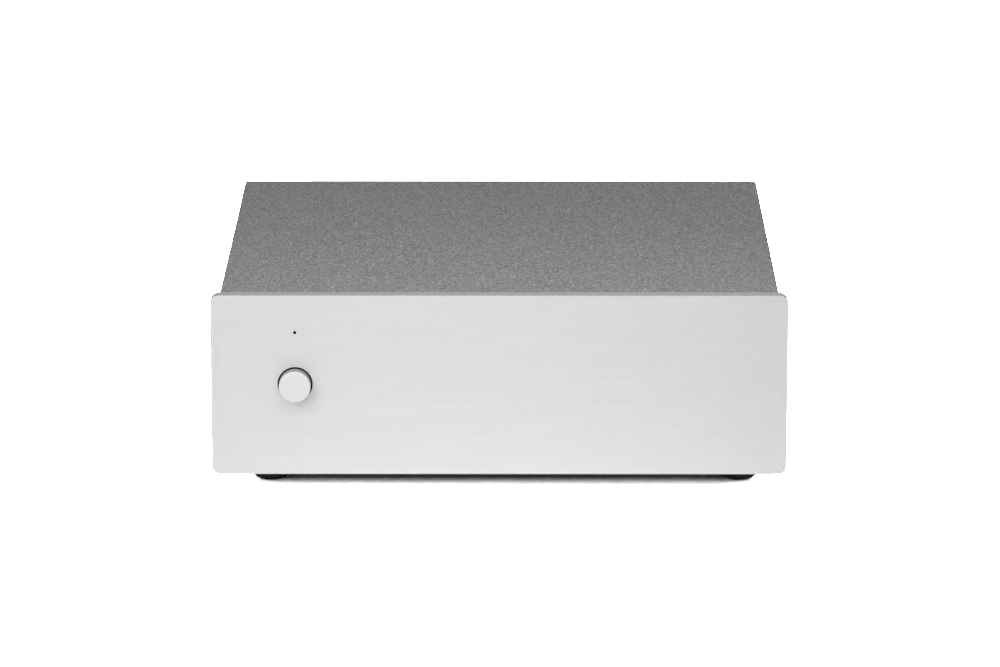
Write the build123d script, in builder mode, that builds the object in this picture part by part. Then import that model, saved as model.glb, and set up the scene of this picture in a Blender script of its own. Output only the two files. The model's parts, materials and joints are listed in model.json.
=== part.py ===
from build123d import *
from itertools import product
import os

# A two-channel phono preamplifier: a folded steel case with a thick aluminium front panel,
# a round power button in front, and phono sockets, an earth post, a load dial and a power inlet behind.
# Millimetres. +X is right as seen from the front, +Y runs to the back, +Z is up.
# The origin is on the floor, below the middle of the whole object, button and sockets included.

# ---------------------------------------------------------------- driving dimensions: the case
panel_width = 206.0
panel_height = 66.0
panel_thickness = 5.0
panel_corner_radius = 3.0
panel_edge_chamfer = 0.2
ground_clearance = 6.0  # floor to the panel's lower edge
side_overhang = 3.0  # how far the front panel stands past the case, left and right
edge_overhang = 0.9  # the same, above and below
case_depth = 194.0  # panel's front face to the rear lip of the case
rear_lip = 2.5  # how deep the rear panel sits inside the case
cover_sheet = 1.0
base_sheet = 1.0
bulkhead_sheet = 1.2
rear_sheet = 1.2
cover_bend_radius = 1.6  # outside of the bend
wall_bend_radius = 1.8  # outside of the bends of both end walls
base_bend_radius = 1.6
side_flange_height = 13.0
end_flange_depth = 12.0
sheet_gap = 0.1  # between sheets that slide past each other
bend_relief = 0.2  # past a bend, where the end walls are notched round it
press_gap = 0.02  # round a pressed or threaded fit
running_gap = 0.06  # round a shaft that turns or slides

# ---------------------------------------------------------------- driving dimensions: the front
button_proud = 4.5
button_radius = 5.7
button_hole_radius = 6.2
button_inset = 30.1  # button axis from the panel's left end
button_above_middle = 0.35  # button axis from the middle of the panel's height
button_edge_radius = 0.3
button_travel = 2.5
button_flange_radius = 7.2
button_flange_thickness = 1.2
button_flange_gap = 0.8  # round the flange, in the bulkhead
button_rest_gap = 0.3  # flange to the back of the panel
led_above_button = 18.95
led_window_radius = 0.5
led_radius = 1.5
led_length = 5.3
led_rim_radius = 1.9
led_rim_thickness = 1.0
led_dome_radius = 1.35
led_tip_gap = 0.4
led_pocket_depth = 3.8
led_hole_gap = 0.2  # round the rim, in the bulkhead
led_lead_radius = 0.25
led_lead_pitch = 1.27
led_spacer_wall = 0.3
plunger_radius = 2.0
plunger_grip = 7.0  # how deep the plunger sits in the button
plunger_tail = 3.2  # how far it reaches into the switch at rest
switch_side = 8.5
switch_depth = 7.0
switch_bore_spare = 0.5  # past the plunger's end when it is pressed in
spring_radius = 3.1  # centre of the wire
spring_wire_radius = 0.25
spring_turns = 3
spring_end_gap = 0.05
front_post_length = 12.0
front_board_width = 30.0
front_board_height = 36.0
front_post_inset_x = 4.0  # from the front board's edges
front_post_inset_z = 3.5
board_thickness = 1.6

# ---------------------------------------------------------------- driving dimensions: feet
foot_top_radius = 7.5
foot_waist_radius = 6.5
foot_edge_radius = 2.4
foot_inset = 19.0  # front feet, from the panel's front face
rear_foot_inset = 16.5  # rear feet, from the rear lip
foot_side_inset = 15.3  # from the sides of the case
foot_drift = 2.0  # the stuck-on feet sit this much to the right of centre

# ---------------------------------------------------------------- driving dimensions: main board
board_post_height = 8.0
board_front_gap = 16.0  # behind the front panel
board_rear_gap = 1.0
board_side_gap = 3.5  # to the side flanges
post_across_flats = 5.0
post_shank_radius = 2.1
board_screw_inset = 8.0  # from the board's sides and front edge
board_screw_back_inset = 21.0  # clear of the sockets

# ---------------------------------------------------------------- driving dimensions: fasteners
screw_radius = 1.5
screw_clearance = 0.2
screw_head_radius = 2.75
screw_head_height = 1.9
screw_head_edge = 0.7
screw_length = 5.0
blind_hole_spare = 0.3  # past a screw's tip
screw_recess_depth = 1.0
screw_recess_width = 0.8
screw_recess_length = 3.0
flange_screw_end_inset = 29.5  # from the inside of the case
flange_screw_inset = 7.0  # from the web of the end wall
panel_screw_end_inset = 9.0  # from the panel's left and right ends
panel_screw_edge_inset = 12.0  # from its upper and lower edges
cover_screw_inset = 32.0  # from the ends of the cover
cover_screw_height = 7.0  # above the underside of the case
cover_screw_length = 5.0
cover_head_radius = 2.85
cover_head_height = 1.6
cover_head_edge = 1.3
cover_socket_across = 2.0
cover_socket_depth = 1.0

# ---------------------------------------------------------------- driving dimensions: rear sockets
socket_proud = 6.0  # past the rear lip
socket_axis_height = 10.0  # above the main board
socket_pitch = 18.0  # left channel to right channel
input_inset = 24.0  # right input from the right side of the case
output_from_inlet = 40.0  # right output from the power inlet
barrel_radius = 4.15
barrel_wall = 0.7
barrel_grip = 6.0  # inside its housing
barrel_mouth_chamfer = 0.25
socket_flange_radius = 5.6
socket_flange_thickness = 0.9
washer_radius = 6.2
washer_thickness = 0.6
panel_hole_gap = 0.35
core_recess = 0.4
contact_radius = 2.2
contact_bore_radius = 1.65
contact_recess = 0.8
contact_grip_length = 7.5
contact_relief_radius = 1.85
contact_bore_depth = 13.5
contact_tail_radius = 0.6
contact_tail_length = 1.2  # past the housing
housing_width = 11.0
housing_depth = 12.0
housing_above_axis = 5.5

# ---------------------------------------------------------------- driving dimensions: power inlet
inlet_inset = 20.0  # from the left side of the case
inlet_width = 9.0
inlet_height = 11.0
inlet_depth = 14.0
inlet_axis_height = 6.5
inlet_boss_radius = 4.2
inlet_boss_proud = 0.6
inlet_bore_radius = 3.15
inlet_bore_depth = 10.0
inlet_pin_radius = 1.05
inlet_pin_length = 9.0
inlet_pin_root_radius = 1.4
inlet_pin_root = 2.0

# ---------------------------------------------------------------- driving dimensions: load dial
dial_x = 6.0
dial_radius = 7.2
dial_face_gap = 0.5  # dial to the rear panel
dial_length = 7.6
dial_cap_thickness = 2.4
dial_flutes = 24
dial_flute_radius = 0.45
dial_pocket_radius = 5.6
dial_pointer_width = 0.9
dial_pointer_depth = 0.5
shaft_radius = 3.0
shaft_tail = 4.0  # inside the potentiometer
bush_radius = 3.8
bush_proud = 3.4
dial_nut_across = 9.5
dial_nut_thickness = 2.0
potentiometer_width = 14.0
potentiometer_depth = 8.0
potentiometer_above_axis = 7.0

# ---------------------------------------------------------------- driving dimensions: earth post
earth_x = 34.0
earth_stud_radius = 2.0
earth_collar_radius = 4.6
earth_collar_thickness = 1.5
earth_washer_radius = 4.3
earth_washer_thickness = 0.8
earth_washer_gap = 0.1
earth_nut_radius = 4.9
earth_nut_length = 5.2
earth_nut_flutes = 20
earth_nut_flute_radius = 0.4
earth_stud_proud = 8.2
earth_stud_inside = 6.0
earth_lock_across = 7.0
earth_lock_thickness = 3.0
turned_edge_chamfer = 0.4

# ---------------------------------------------------------------- driving dimensions: slide switches
bank_places = {"left": -32.0, "right": 32.0}
bank_y = 8.0
bank_ways = 4
bank_pitch = 2.54
bank_end = 2.0  # outer slot's middle to the end of the bank
bank_width = 9.8
bank_height = 5.4
slot_width = 1.4
slot_depth = 2.0
slider_gap = 0.1
slider_length = 1.8
slider_travel = 2.0
slider_proud = 0.7
slider_chamfer = 0.25
window_margin_x = 2.6
window_margin_y = 2.2
window_corner_radius = 2.0

# ---------------------------------------------------------------- driving dimensions: electronics
header_width = 11.0
header_side = 5.0
header_height = 6.0
header_below_button = 3.5
ribbon_width = 7.6
ribbon_thickness = 1.0
ribbon_reach = 11.0
ribbon_bend_share = 0.45
front_row_inset = 18.8  # first row of parts from the board's front edge
row_count = 9
row_relay_gap = 8.5  # last row of parts to the relays
electrolytic_inset = 36.4  # right-hand column from the board's right end, here and below
electrolytic_pitch = 15.0
electrolytic_columns = 6
electrolytic_radius = 5.0
electrolytic_height = 16.0
electrolytic_edge = 0.6
reservoir_inset = 32.4  # first column from the board's left end
reservoir_pitch = 20.0
reservoir_radius = 8.0
reservoir_height = 25.0
film_inset = 26.4
film_pitch = 16.0
film_columns = 6
film_length = 13.0
film_width = 5.0
film_height = 11.0
relay_inset = 20.4
relay_pitch = 12.0
relay_columns = 6
relay_back_inset = 25.5  # from the board's back edge
relay_length = 15.0
relay_width = 7.5
relay_height = 10.0
chip_inset = 24.4
chip_pitch = 20.0
chip_columns = 4
chip_length = 9.8
chip_width = 6.4
chip_height = 3.4
chip_notch_radius = 0.8
regulator_inset = 22.4  # first column from the board's left end
regulator_pitch = 16.0
regulator_back_inset = 35.5  # from the board's back edge
regulator_width = 10.0
regulator_body_height = 9.0
regulator_body_depth = 4.4
regulator_tab_height = 15.5
regulator_tab_depth = 1.3
regulator_hole_radius = 1.8
transistor_inset = 30.4
transistor_pitch = 8.0
transistor_pair_pitch = 7.0
transistor_columns = 8
transistor_radius = 2.4
transistor_height = 4.8
transistor_flat = 1.6  # from the middle to the flat face
transistor_stilts = 2.5
transistor_lead_pitch = 1.27
lead_radius = 0.3
resistor_inset = 34.4
resistor_pitch = 20.0
resistor_pair_pitch = 4.4
resistor_columns = 4
resistor_radius = 1.2
resistor_length = 6.3
resistor_lift = 0.2
resistor_span = 10.0

# ---------------------------------------------------------------- places worked out from them
front_face_y = button_proud - (button_proud + case_depth + socket_proud) / 2
panel_back_y = front_face_y + panel_thickness
case_rear_y = front_face_y + case_depth
rear_face_y = case_rear_y - rear_lip
rear_inner_y = rear_face_y - rear_sheet
socket_end_y = case_rear_y + socket_proud
cover_front_y = panel_back_y + sheet_gap
bulkhead_inner_y = panel_back_y + bulkhead_sheet

panel_middle_z = ground_clearance + panel_height / 2
case_bottom_z = ground_clearance + edge_overhang
case_top_z = ground_clearance + panel_height - edge_overhang
floor_z = case_bottom_z + base_sheet  # top of the base pan
ceiling_z = case_top_z - cover_sheet  # underside of the cover
board_bottom_z = floor_z + board_post_height
board_top_z = board_bottom_z + board_thickness
socket_z = board_top_z + socket_axis_height
inlet_z = board_top_z + inlet_axis_height

case_half = panel_width / 2 - side_overhang
cover_inner_x = case_half - cover_sheet
flange_outer_x = cover_inner_x - sheet_gap
flange_inner_x = flange_outer_x - base_sheet
cover_bend_inside = cover_bend_radius - cover_sheet
base_bend_inside = base_bend_radius - base_sheet

button_x = button_inset - panel_width / 2
button_z = panel_middle_z + button_above_middle
led_z = button_z + led_above_button
front_board_y = bulkhead_inner_y + front_post_length
front_board_back_y = front_board_y + board_thickness
front_board_z = (button_z + led_z) / 2
switch_front_y = front_board_y - switch_depth
flange_front_y = panel_back_y + button_rest_gap
flange_back_y = flange_front_y + button_flange_thickness
plunger_front_y = flange_back_y - plunger_grip

board_front_y = panel_back_y + board_front_gap
board_back_y = rear_inner_y - board_rear_gap
board_half = flange_inner_x - board_side_gap
inlet_x = inlet_inset - case_half
socket_places = {
    "in_right": case_half - input_inset,
    "in_left": case_half - input_inset - socket_pitch,
    "out_left": inlet_x + output_from_inlet + socket_pitch,
    "out_right": inlet_x + output_from_inlet,
}
bank_bottom_z = board_bottom_z - bank_height
bank_length = (bank_ways - 1) * bank_pitch + 2 * bank_end
slot_length = slider_length + slider_travel + 2 * slider_gap

screw_hole_radius = screw_radius + screw_clearance
tapped_radius = screw_radius + press_gap
front_flange_screw_y = bulkhead_inner_y + flange_screw_inset
rear_flange_screw_y = rear_inner_y - flange_screw_inset
flange_screw_xs = [side * (flange_inner_x - flange_screw_end_inset) for side in (-1, 0, 1)]
cover_screw_ys = (cover_front_y + cover_screw_inset, case_rear_y - cover_screw_inset)
cover_screw_z = case_bottom_z + cover_screw_height
panel_screw_places = [
    (side * (panel_width / 2 - panel_screw_end_inset),
     panel_middle_z + edge * (panel_height / 2 - panel_screw_edge_inset))
    for side in (-1, 1) for edge in (-1, 1)
]
board_screw_front_y = board_front_y + board_screw_inset
board_screw_back_y = board_back_y - board_screw_back_inset
board_screw_places = [
    (side * (board_half - board_screw_inset), y)
    for side in (-1, 1)
    for y in (board_screw_front_y, (board_screw_front_y + board_screw_back_y) / 2,
              board_screw_back_y)
]
front_post_places = [
    (button_x + side * (front_board_width / 2 - front_post_inset_x),
     front_board_z + edge * (front_board_height / 2 - front_post_inset_z))
    for side in (-1, 1) for edge in (-1, 1)
]

pieces = {}


def upright(y):
    """The plane at depth y, drawn as seen from the front: local x is X and local y is Z."""
    return Plane.XZ.offset(-y)


def bar(x, z, y_near, y_far, radius, mode=Mode.ADD):
    """A round bar along Y, from the nearer depth to the farther one."""
    with BuildSketch(upright(y_far)) as section:
        with Locations((x, z)):
            Circle(radius)
    extrude(section.sketch, amount=y_far - y_near, mode=mode)


def block(x_range, y_range, z_range, mode=Mode.ADD):
    """A square-edged block between three pairs of limits."""
    middle = [sum(pair) / 2 for pair in (x_range, y_range, z_range)]
    size = [pair[1] - pair[0] for pair in (x_range, y_range, z_range)]
    with Locations(tuple(middle)):
        Box(*size, mode=mode)


def around(middle, width):
    """The pair of limits that lie evenly about a middle."""
    return (middle - width / 2, middle + width / 2)


# ---------------------------------------------------------------- front panel
screw_tip_y = bulkhead_inner_y - screw_length
with BuildPart() as front_panel:
    with BuildSketch(upright(panel_back_y)):
        with Locations((0, panel_middle_z)):
            RectangleRounded(panel_width, panel_height, panel_corner_radius)
    extrude(amount=panel_thickness)
    rim = front_panel.faces().sort_by(Axis.Y)[0].outer_wire().edges()
    chamfer(rim, length=panel_edge_chamfer)
    bar(button_x, button_z, front_face_y, panel_back_y, button_hole_radius, Mode.SUBTRACT)
    bar(button_x, led_z, front_face_y, panel_back_y, led_window_radius, Mode.SUBTRACT)
    bar(button_x, led_z, panel_back_y - led_pocket_depth, panel_back_y,
        led_radius + running_gap, Mode.SUBTRACT)
    for screw_x, screw_z in panel_screw_places:
        bar(screw_x, screw_z, screw_tip_y - blind_hole_spare, panel_back_y,
            tapped_radius, Mode.SUBTRACT)
pieces["front_panel"] = front_panel

# ---------------------------------------------------------------- end walls of the chassis


def end_wall(web_near_y, web_far_y, flange_near_y, flange_far_y):
    """A folded wall: an upright web with a flange at the top and one at the bottom."""
    web_at_front = web_near_y <= flange_near_y
    sheet = web_far_y - web_near_y
    wall_height = ceiling_z - floor_z
    with BuildPart() as wall:
        with BuildSketch(Plane.YZ) as profile:
            with Locations(((flange_near_y + flange_far_y) / 2, (floor_z + ceiling_z) / 2)):
                Rectangle(flange_far_y - flange_near_y, wall_height)
            hollow_near = web_far_y if web_at_front else flange_near_y
            hollow_far = flange_far_y if web_at_front else web_near_y
            with Locations(((hollow_near + hollow_far) / 2, (floor_z + ceiling_z) / 2)):
                Rectangle(hollow_far - hollow_near, wall_height - 2 * sheet, mode=Mode.SUBTRACT)
            outer_y = web_near_y if web_at_front else web_far_y
            inner_y = web_far_y if web_at_front else web_near_y
            fillet(profile.vertices().filter_by_position(Axis.X, outer_y - 0.01, outer_y + 0.01),
                   radius=wall_bend_radius)
            fillet(profile.vertices().filter_by_position(Axis.X, inner_y - 0.01, inner_y + 0.01),
                   radius=wall_bend_radius - sheet)
        extrude(amount=flange_outer_x, both=True)
        lower_notch_x = flange_inner_x - base_bend_inside - bend_relief
        upper_notch_x = flange_outer_x - cover_bend_inside - bend_relief
        for side in (-1, 1):
            block(sorted((side * lower_notch_x, side * cover_inner_x)),
                  (flange_near_y, flange_far_y),
                  (floor_z, case_bottom_z + side_flange_height + sheet_gap), Mode.SUBTRACT)
            block(sorted((side * upper_notch_x, side * cover_inner_x)),
                  (flange_near_y, flange_far_y),
                  (ceiling_z - cover_bend_inside - bend_relief, ceiling_z), Mode.SUBTRACT)
    return wall


def tapped_flange(screw_y, sheet):
    """Tapped holes through the lower flange of the end wall being built."""
    with BuildSketch(Plane.XY.offset(floor_z)) as holes:
        with Locations(*[(x, screw_y) for x in flange_screw_xs]):
            Circle(tapped_radius)
    extrude(holes.sketch, amount=sheet, mode=Mode.SUBTRACT)


bulkhead_shell = end_wall(panel_back_y, bulkhead_inner_y,
                          panel_back_y, bulkhead_inner_y + end_flange_depth)
with BuildPart() as front_bulkhead:
    add(bulkhead_shell.part)
    bar(button_x, button_z, panel_back_y, bulkhead_inner_y,
        button_flange_radius + button_flange_gap, Mode.SUBTRACT)
    bar(button_x, led_z, panel_back_y, bulkhead_inner_y,
        led_rim_radius + led_hole_gap, Mode.SUBTRACT)
    for screw_x, screw_z in panel_screw_places:
        bar(screw_x, screw_z, panel_back_y, bulkhead_inner_y, screw_hole_radius, Mode.SUBTRACT)
    for post_x, post_z in front_post_places:
        bar(post_x, post_z, panel_back_y, bulkhead_inner_y,
            post_shank_radius + press_gap, Mode.SUBTRACT)
    tapped_flange(front_flange_screw_y, bulkhead_sheet)
pieces["front_bulkhead"] = front_bulkhead

rear_shell = end_wall(rear_inner_y, rear_face_y, rear_inner_y - end_flange_depth, rear_face_y)
with BuildPart() as rear_panel:
    add(rear_shell.part)
    for socket_x in socket_places.values():
        bar(socket_x, socket_z, rear_inner_y, rear_face_y,
            barrel_radius + panel_hole_gap, Mode.SUBTRACT)
    bar(inlet_x, inlet_z, rear_inner_y, rear_face_y,
        inlet_boss_radius + sheet_gap, Mode.SUBTRACT)
    bar(dial_x, socket_z, rear_inner_y, rear_face_y, bush_radius + sheet_gap, Mode.SUBTRACT)
    bar(earth_x, socket_z, rear_inner_y, rear_face_y,
        earth_stud_radius + press_gap, Mode.SUBTRACT)
    tapped_flange(rear_flange_screw_y, rear_sheet)
pieces["rear_panel"] = rear_panel

# ---------------------------------------------------------------- base pan and cover


def side_holes(x_reach, radius):
    """Holes along X through both sides of the part being built, for the cover's screws."""
    with BuildSketch(Plane.YZ.offset(-x_reach)) as holes:
        with Locations(*[(y, cover_screw_z) for y in cover_screw_ys]):
            Circle(radius)
    extrude(holes.sketch, amount=2 * x_reach, mode=Mode.SUBTRACT)


with BuildPart() as base_pan:
    with BuildSketch(upright(case_rear_y)) as pan_profile:
        with Locations((0, case_bottom_z)):
            Rectangle(2 * flange_outer_x, side_flange_height, align=(Align.CENTER, Align.MIN))
        with Locations((0, floor_z)):
            Rectangle(2 * flange_inner_x, side_flange_height, align=(Align.CENTER, Align.MIN),
                      mode=Mode.SUBTRACT)
        fillet(pan_profile.vertices().filter_by_position(
            Axis.Y, case_bottom_z - 0.01, case_bottom_z + 0.01), radius=base_bend_radius)
        fillet(pan_profile.vertices().filter_by_position(
            Axis.Y, floor_z - 0.01, floor_z + 0.01), radius=base_bend_inside)
    extrude(amount=case_rear_y - cover_front_y)
    with BuildSketch(Plane.XY.offset(case_bottom_z)):
        with Locations(*[(x, bank_y) for x in bank_places.values()]):
            RectangleRounded(bank_length + 2 * window_margin_x, bank_width + 2 * window_margin_y,
                             window_corner_radius)
        with Locations(*board_screw_places):
            Circle(post_shank_radius + press_gap)
        with Locations(*[(x, y) for x in flange_screw_xs
                         for y in (front_flange_screw_y, rear_flange_screw_y)]):
            Circle(screw_hole_radius)
    extrude(amount=base_sheet, mode=Mode.SUBTRACT)
    side_holes(case_half, tapped_radius)
pieces["base_pan"] = base_pan

with BuildPart() as top_cover:
    with BuildSketch(upright(case_rear_y)) as cover_profile:
        with Locations((0, case_bottom_z)):
            Rectangle(2 * case_half, case_top_z - case_bottom_z, align=(Align.CENTER, Align.MIN))
            Rectangle(2 * cover_inner_x, ceiling_z - case_bottom_z,
                      align=(Align.CENTER, Align.MIN), mode=Mode.SUBTRACT)
        fillet(cover_profile.vertices().filter_by_position(
            Axis.Y, case_top_z - 0.01, case_top_z + 0.01), radius=cover_bend_radius)
        fillet(cover_profile.vertices().filter_by_position(
            Axis.Y, ceiling_z - 0.01, ceiling_z + 0.01), radius=cover_bend_inside)
    extrude(amount=case_rear_y - cover_front_y)
    side_holes(case_half, screw_hole_radius)
pieces["top_cover"] = top_cover

# ---------------------------------------------------------------- feet
foot_height = case_bottom_z
foot_half_span = case_half - foot_side_inset
foot_columns = {"left": foot_drift - foot_half_span, "right": foot_drift + foot_half_span}
foot_rows = {"front": front_face_y + foot_inset, "rear": case_rear_y - rear_foot_inset}
for (row, foot_y), (column, foot_x) in product(foot_rows.items(), foot_columns.items()):
    with BuildPart() as foot:
        with BuildSketch(Plane((foot_x, foot_y, 0), x_dir=(1, 0, 0), z_dir=(0, -1, 0))):
            with BuildLine():
                flat_end = foot_waist_radius - foot_edge_radius
                Polyline((0, 0), (flat_end, 0))
                JernArc((flat_end, 0), (1, 0), foot_edge_radius, 90)
                Polyline((foot_waist_radius, foot_edge_radius), (foot_top_radius, foot_height),
                         (0, foot_height), (0, 0))
            make_face()
        revolve(axis=Axis((foot_x, foot_y, 0), (0, 0, 1)))
    pieces[f"foot_{row}_{column}"] = foot

# ---------------------------------------------------------------- screws
with BuildPart() as pan_screw:  # head up, underside of the head at the origin
    Cylinder(screw_head_radius, screw_head_height, align=(Align.CENTER, Align.CENTER, Align.MIN))
    fillet(pan_screw.edges().sort_by(Axis.Z)[-1], radius=screw_head_edge)
    with Locations((0, 0, screw_head_height - screw_recess_depth)):
        for recess_size in ((screw_recess_length, screw_recess_width),
                            (screw_recess_width, screw_recess_length)):
            Box(*recess_size, 2 * screw_recess_depth,
                align=(Align.CENTER, Align.CENTER, Align.MIN), mode=Mode.SUBTRACT)
    Cylinder(screw_radius, screw_length, align=(Align.CENTER, Align.CENTER, Align.MAX))

down = Location((0, 0, 0), (180, 0, 0))  # head below
to_back = Location((0, 0, 0), (-90, 0, 0))  # head towards +Y
pan_screw_locations = [
    Location((x, y, case_bottom_z)) * down
    for x in flange_screw_xs for y in (front_flange_screw_y, rear_flange_screw_y)
]
pan_screw_locations += [Location((x, y, board_top_z)) for x, y in board_screw_places]
pan_screw_locations += [Location((x, front_board_back_y, z)) * to_back
                        for x, z in front_post_places]
pan_screw_locations += [Location((x, bulkhead_inner_y, z)) * to_back
                        for x, z in panel_screw_places]
with BuildPart() as pan_head_screws:
    with Locations(*pan_screw_locations):
        add(pan_screw.part)
pieces["pan_head_screws"] = pan_head_screws

with BuildPart() as cover_screw:  # a low round head with a hexagon socket
    Cylinder(cover_head_radius, cover_head_height, align=(Align.CENTER, Align.CENTER, Align.MIN))
    fillet(cover_screw.edges().sort_by(Axis.Z)[-1], radius=cover_head_edge)
    with BuildSketch(Plane.XY.offset(cover_head_height)):
        RegularPolygon(cover_socket_across / 2, 6, major_radius=False)
    extrude(amount=-cover_socket_depth, mode=Mode.SUBTRACT)
    Cylinder(screw_radius, cover_screw_length, align=(Align.CENTER, Align.CENTER, Align.MAX))

with BuildPart() as cover_screws:
    with Locations(*[Location((side * case_half, y, cover_screw_z), (0, 90 * side, 0))
                     for side in (-1, 1) for y in cover_screw_ys]):
        add(cover_screw.part)
pieces["cover_screws"] = cover_screws

# ---------------------------------------------------------------- boards and the posts that carry them


def post(length, sheet):
    """A hexagon post with a threaded bore and a pressed-in shank below it, standing at the origin."""
    with BuildPart() as made:
        with BuildSketch():
            RegularPolygon(post_across_flats / 2, 6, major_radius=False)
        extrude(amount=length)
        Cylinder(post_shank_radius, sheet, align=(Align.CENTER, Align.CENTER, Align.MAX))
        with Locations((0, 0, length)):
            Cylinder(tapped_radius, screw_length, align=(Align.CENTER, Align.CENTER, Align.MAX),
                     mode=Mode.SUBTRACT)
    return made.part


board_post = post(board_post_height, base_sheet)
with BuildPart() as board_standoffs:
    with Locations(*[(x, y, floor_z) for x, y in board_screw_places]):
        add(board_post)
pieces["board_standoffs"] = board_standoffs

front_post = post(front_post_length, bulkhead_sheet)
with BuildPart() as front_standoffs:
    with Locations(*[Location((x, bulkhead_inner_y, z)) * to_back for x, z in front_post_places]):
        add(front_post)
pieces["front_standoffs"] = front_standoffs

with BuildPart() as main_board:
    block((-board_half, board_half), (board_front_y, board_back_y),
          (board_bottom_z, board_top_z))
    with BuildSketch(Plane.XY.offset(board_bottom_z)):
        with Locations(*board_screw_places):
            Circle(screw_hole_radius)
    extrude(amount=board_thickness, mode=Mode.SUBTRACT)
pieces["main_board"] = main_board

with BuildPart() as front_board:
    block(around(button_x, front_board_width), (front_board_y, front_board_back_y),
          around(front_board_z, front_board_height))
    for post_x, post_z in front_post_places:
        bar(post_x, post_z, front_board_y, front_board_back_y, screw_hole_radius, Mode.SUBTRACT)
pieces["front_board"] = front_board

# ---------------------------------------------------------------- power button, switch and lamp
with BuildPart() as button_cap:
    bar(button_x, button_z, front_face_y - button_proud, flange_front_y, button_radius)
    fillet(button_cap.edges().filter_by(GeomType.CIRCLE).sort_by(Axis.Y)[0],
           radius=button_edge_radius)
    bar(button_x, button_z, flange_front_y, flange_back_y, button_flange_radius)
    bar(button_x, button_z, plunger_front_y, flange_back_y,
        plunger_radius + press_gap, Mode.SUBTRACT)
pieces["button_cap"] = button_cap

with BuildPart() as switch_plunger:
    bar(button_x, button_z, plunger_front_y, switch_front_y + plunger_tail, plunger_radius)
pieces["switch_plunger"] = switch_plunger

with BuildPart() as switch_body:
    block(around(button_x, switch_side), (switch_front_y, front_board_y),
          around(button_z, switch_side))
    bar(button_x, button_z, switch_front_y,
        switch_front_y + plunger_tail + button_travel + switch_bore_spare,
        plunger_radius + running_gap, Mode.SUBTRACT)
pieces["switch_body"] = switch_body

spring_span = switch_front_y - flange_back_y - 2 * (spring_wire_radius + spring_end_gap)
spring_start_y = flange_back_y + spring_wire_radius + spring_end_gap
with BuildPart() as button_spring:
    with BuildLine() as coil:
        Helix(spring_span / spring_turns, spring_span, spring_radius,
              center=(button_x, spring_start_y, button_z), direction=(0, 1, 0))
    with BuildSketch(Plane(coil.line @ 0, z_dir=coil.line % 0)):
        Circle(spring_wire_radius)
    sweep(is_frenet=True)
pieces["button_spring"] = button_spring

led_tip_y = panel_back_y - led_pocket_depth + led_tip_gap
led_base_y = led_tip_y + led_length
with BuildPart() as led:
    bar(button_x, led_z, led_tip_y, led_base_y, led_radius)
    fillet(led.edges().filter_by(GeomType.CIRCLE).sort_by(Axis.Y)[0], radius=led_dome_radius)
    bar(button_x, led_z, led_base_y - led_rim_thickness, led_base_y, led_rim_radius)
    for lead_side in (-1, 1):
        bar(button_x + lead_side * led_lead_pitch, led_z, led_base_y, front_board_y,
            led_lead_radius)
pieces["led"] = led

with BuildPart() as led_spacer:
    bar(button_x, led_z, led_base_y, front_board_y, led_rim_radius)
    bar(button_x, led_z, led_base_y, front_board_y, led_rim_radius - led_spacer_wall,
        Mode.SUBTRACT)
pieces["led_spacer"] = led_spacer

# ---------------------------------------------------------------- ribbon cable between the boards
header_z = button_z - header_below_button
front_header_back_y = front_board_back_y + header_height
ribbon_down_y = front_header_back_y + ribbon_reach
main_header_top_z = board_top_z + header_height

with BuildPart() as cable_headers:
    block(around(button_x, header_width), (front_board_back_y, front_header_back_y),
          around(header_z, header_side))
    block(around(button_x, header_width), around(ribbon_down_y, header_side),
          (board_top_z, main_header_top_z))
pieces["cable_headers"] = cable_headers

ribbon_bend_radius = ribbon_bend_share * min(ribbon_reach, header_z - main_header_top_z)
with BuildPart() as ribbon_cable:
    with BuildLine() as ribbon_route:
        FilletPolyline((button_x, front_header_back_y, header_z),
                       (button_x, ribbon_down_y, header_z),
                       (button_x, ribbon_down_y, main_header_top_z), radius=ribbon_bend_radius)
    with BuildSketch(Plane(ribbon_route.line @ 0, x_dir=(1, 0, 0), z_dir=(0, 1, 0))):
        Rectangle(ribbon_width, ribbon_thickness)
    sweep()
pieces["ribbon_cable"] = ribbon_cable

# ---------------------------------------------------------------- phono sockets
barrel_root_y = rear_inner_y - barrel_grip
housing_back_y = rear_inner_y - housing_depth
washer_outer_y = rear_face_y + washer_thickness
socket_flange_y = washer_outer_y + socket_flange_thickness
contact_mouth_y = socket_end_y - contact_recess
core_mouth_y = socket_end_y - core_recess
tail_end_y = housing_back_y - contact_tail_length

for place, socket_x in socket_places.items():
    with BuildPart() as shell:
        bar(socket_x, socket_z, barrel_root_y, socket_end_y, barrel_radius)
        chamfer(shell.edges().filter_by(GeomType.CIRCLE).sort_by(Axis.Y)[-1],
                length=barrel_mouth_chamfer)
        bar(socket_x, socket_z, washer_outer_y, socket_flange_y, socket_flange_radius)
        bar(socket_x, socket_z, barrel_root_y, socket_end_y, barrel_radius - barrel_wall,
            Mode.SUBTRACT)
    pieces["rca_shell_" + place] = shell


def socket_core(socket_x):
    """The plastic core of one socket, with a bore for its contact."""
    bar(socket_x, socket_z, barrel_root_y, core_mouth_y, barrel_radius - barrel_wall - press_gap)
    bar(socket_x, socket_z, barrel_root_y, core_mouth_y, contact_radius + press_gap,
        Mode.SUBTRACT)


with BuildPart() as rca_cores_red:
    for place in ("in_right", "out_right"):
        socket_core(socket_places[place])
pieces["rca_cores_red"] = rca_cores_red

with BuildPart() as rca_cores_white:
    for place in ("in_left", "out_left"):
        socket_core(socket_places[place])
pieces["rca_cores_white"] = rca_cores_white

with BuildPart() as rca_washers:
    for socket_x in socket_places.values():
        bar(socket_x, socket_z, rear_face_y, washer_outer_y, washer_radius)
        bar(socket_x, socket_z, rear_face_y, washer_outer_y, barrel_radius + press_gap,
            Mode.SUBTRACT)
pieces["rca_washers"] = rca_washers

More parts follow.
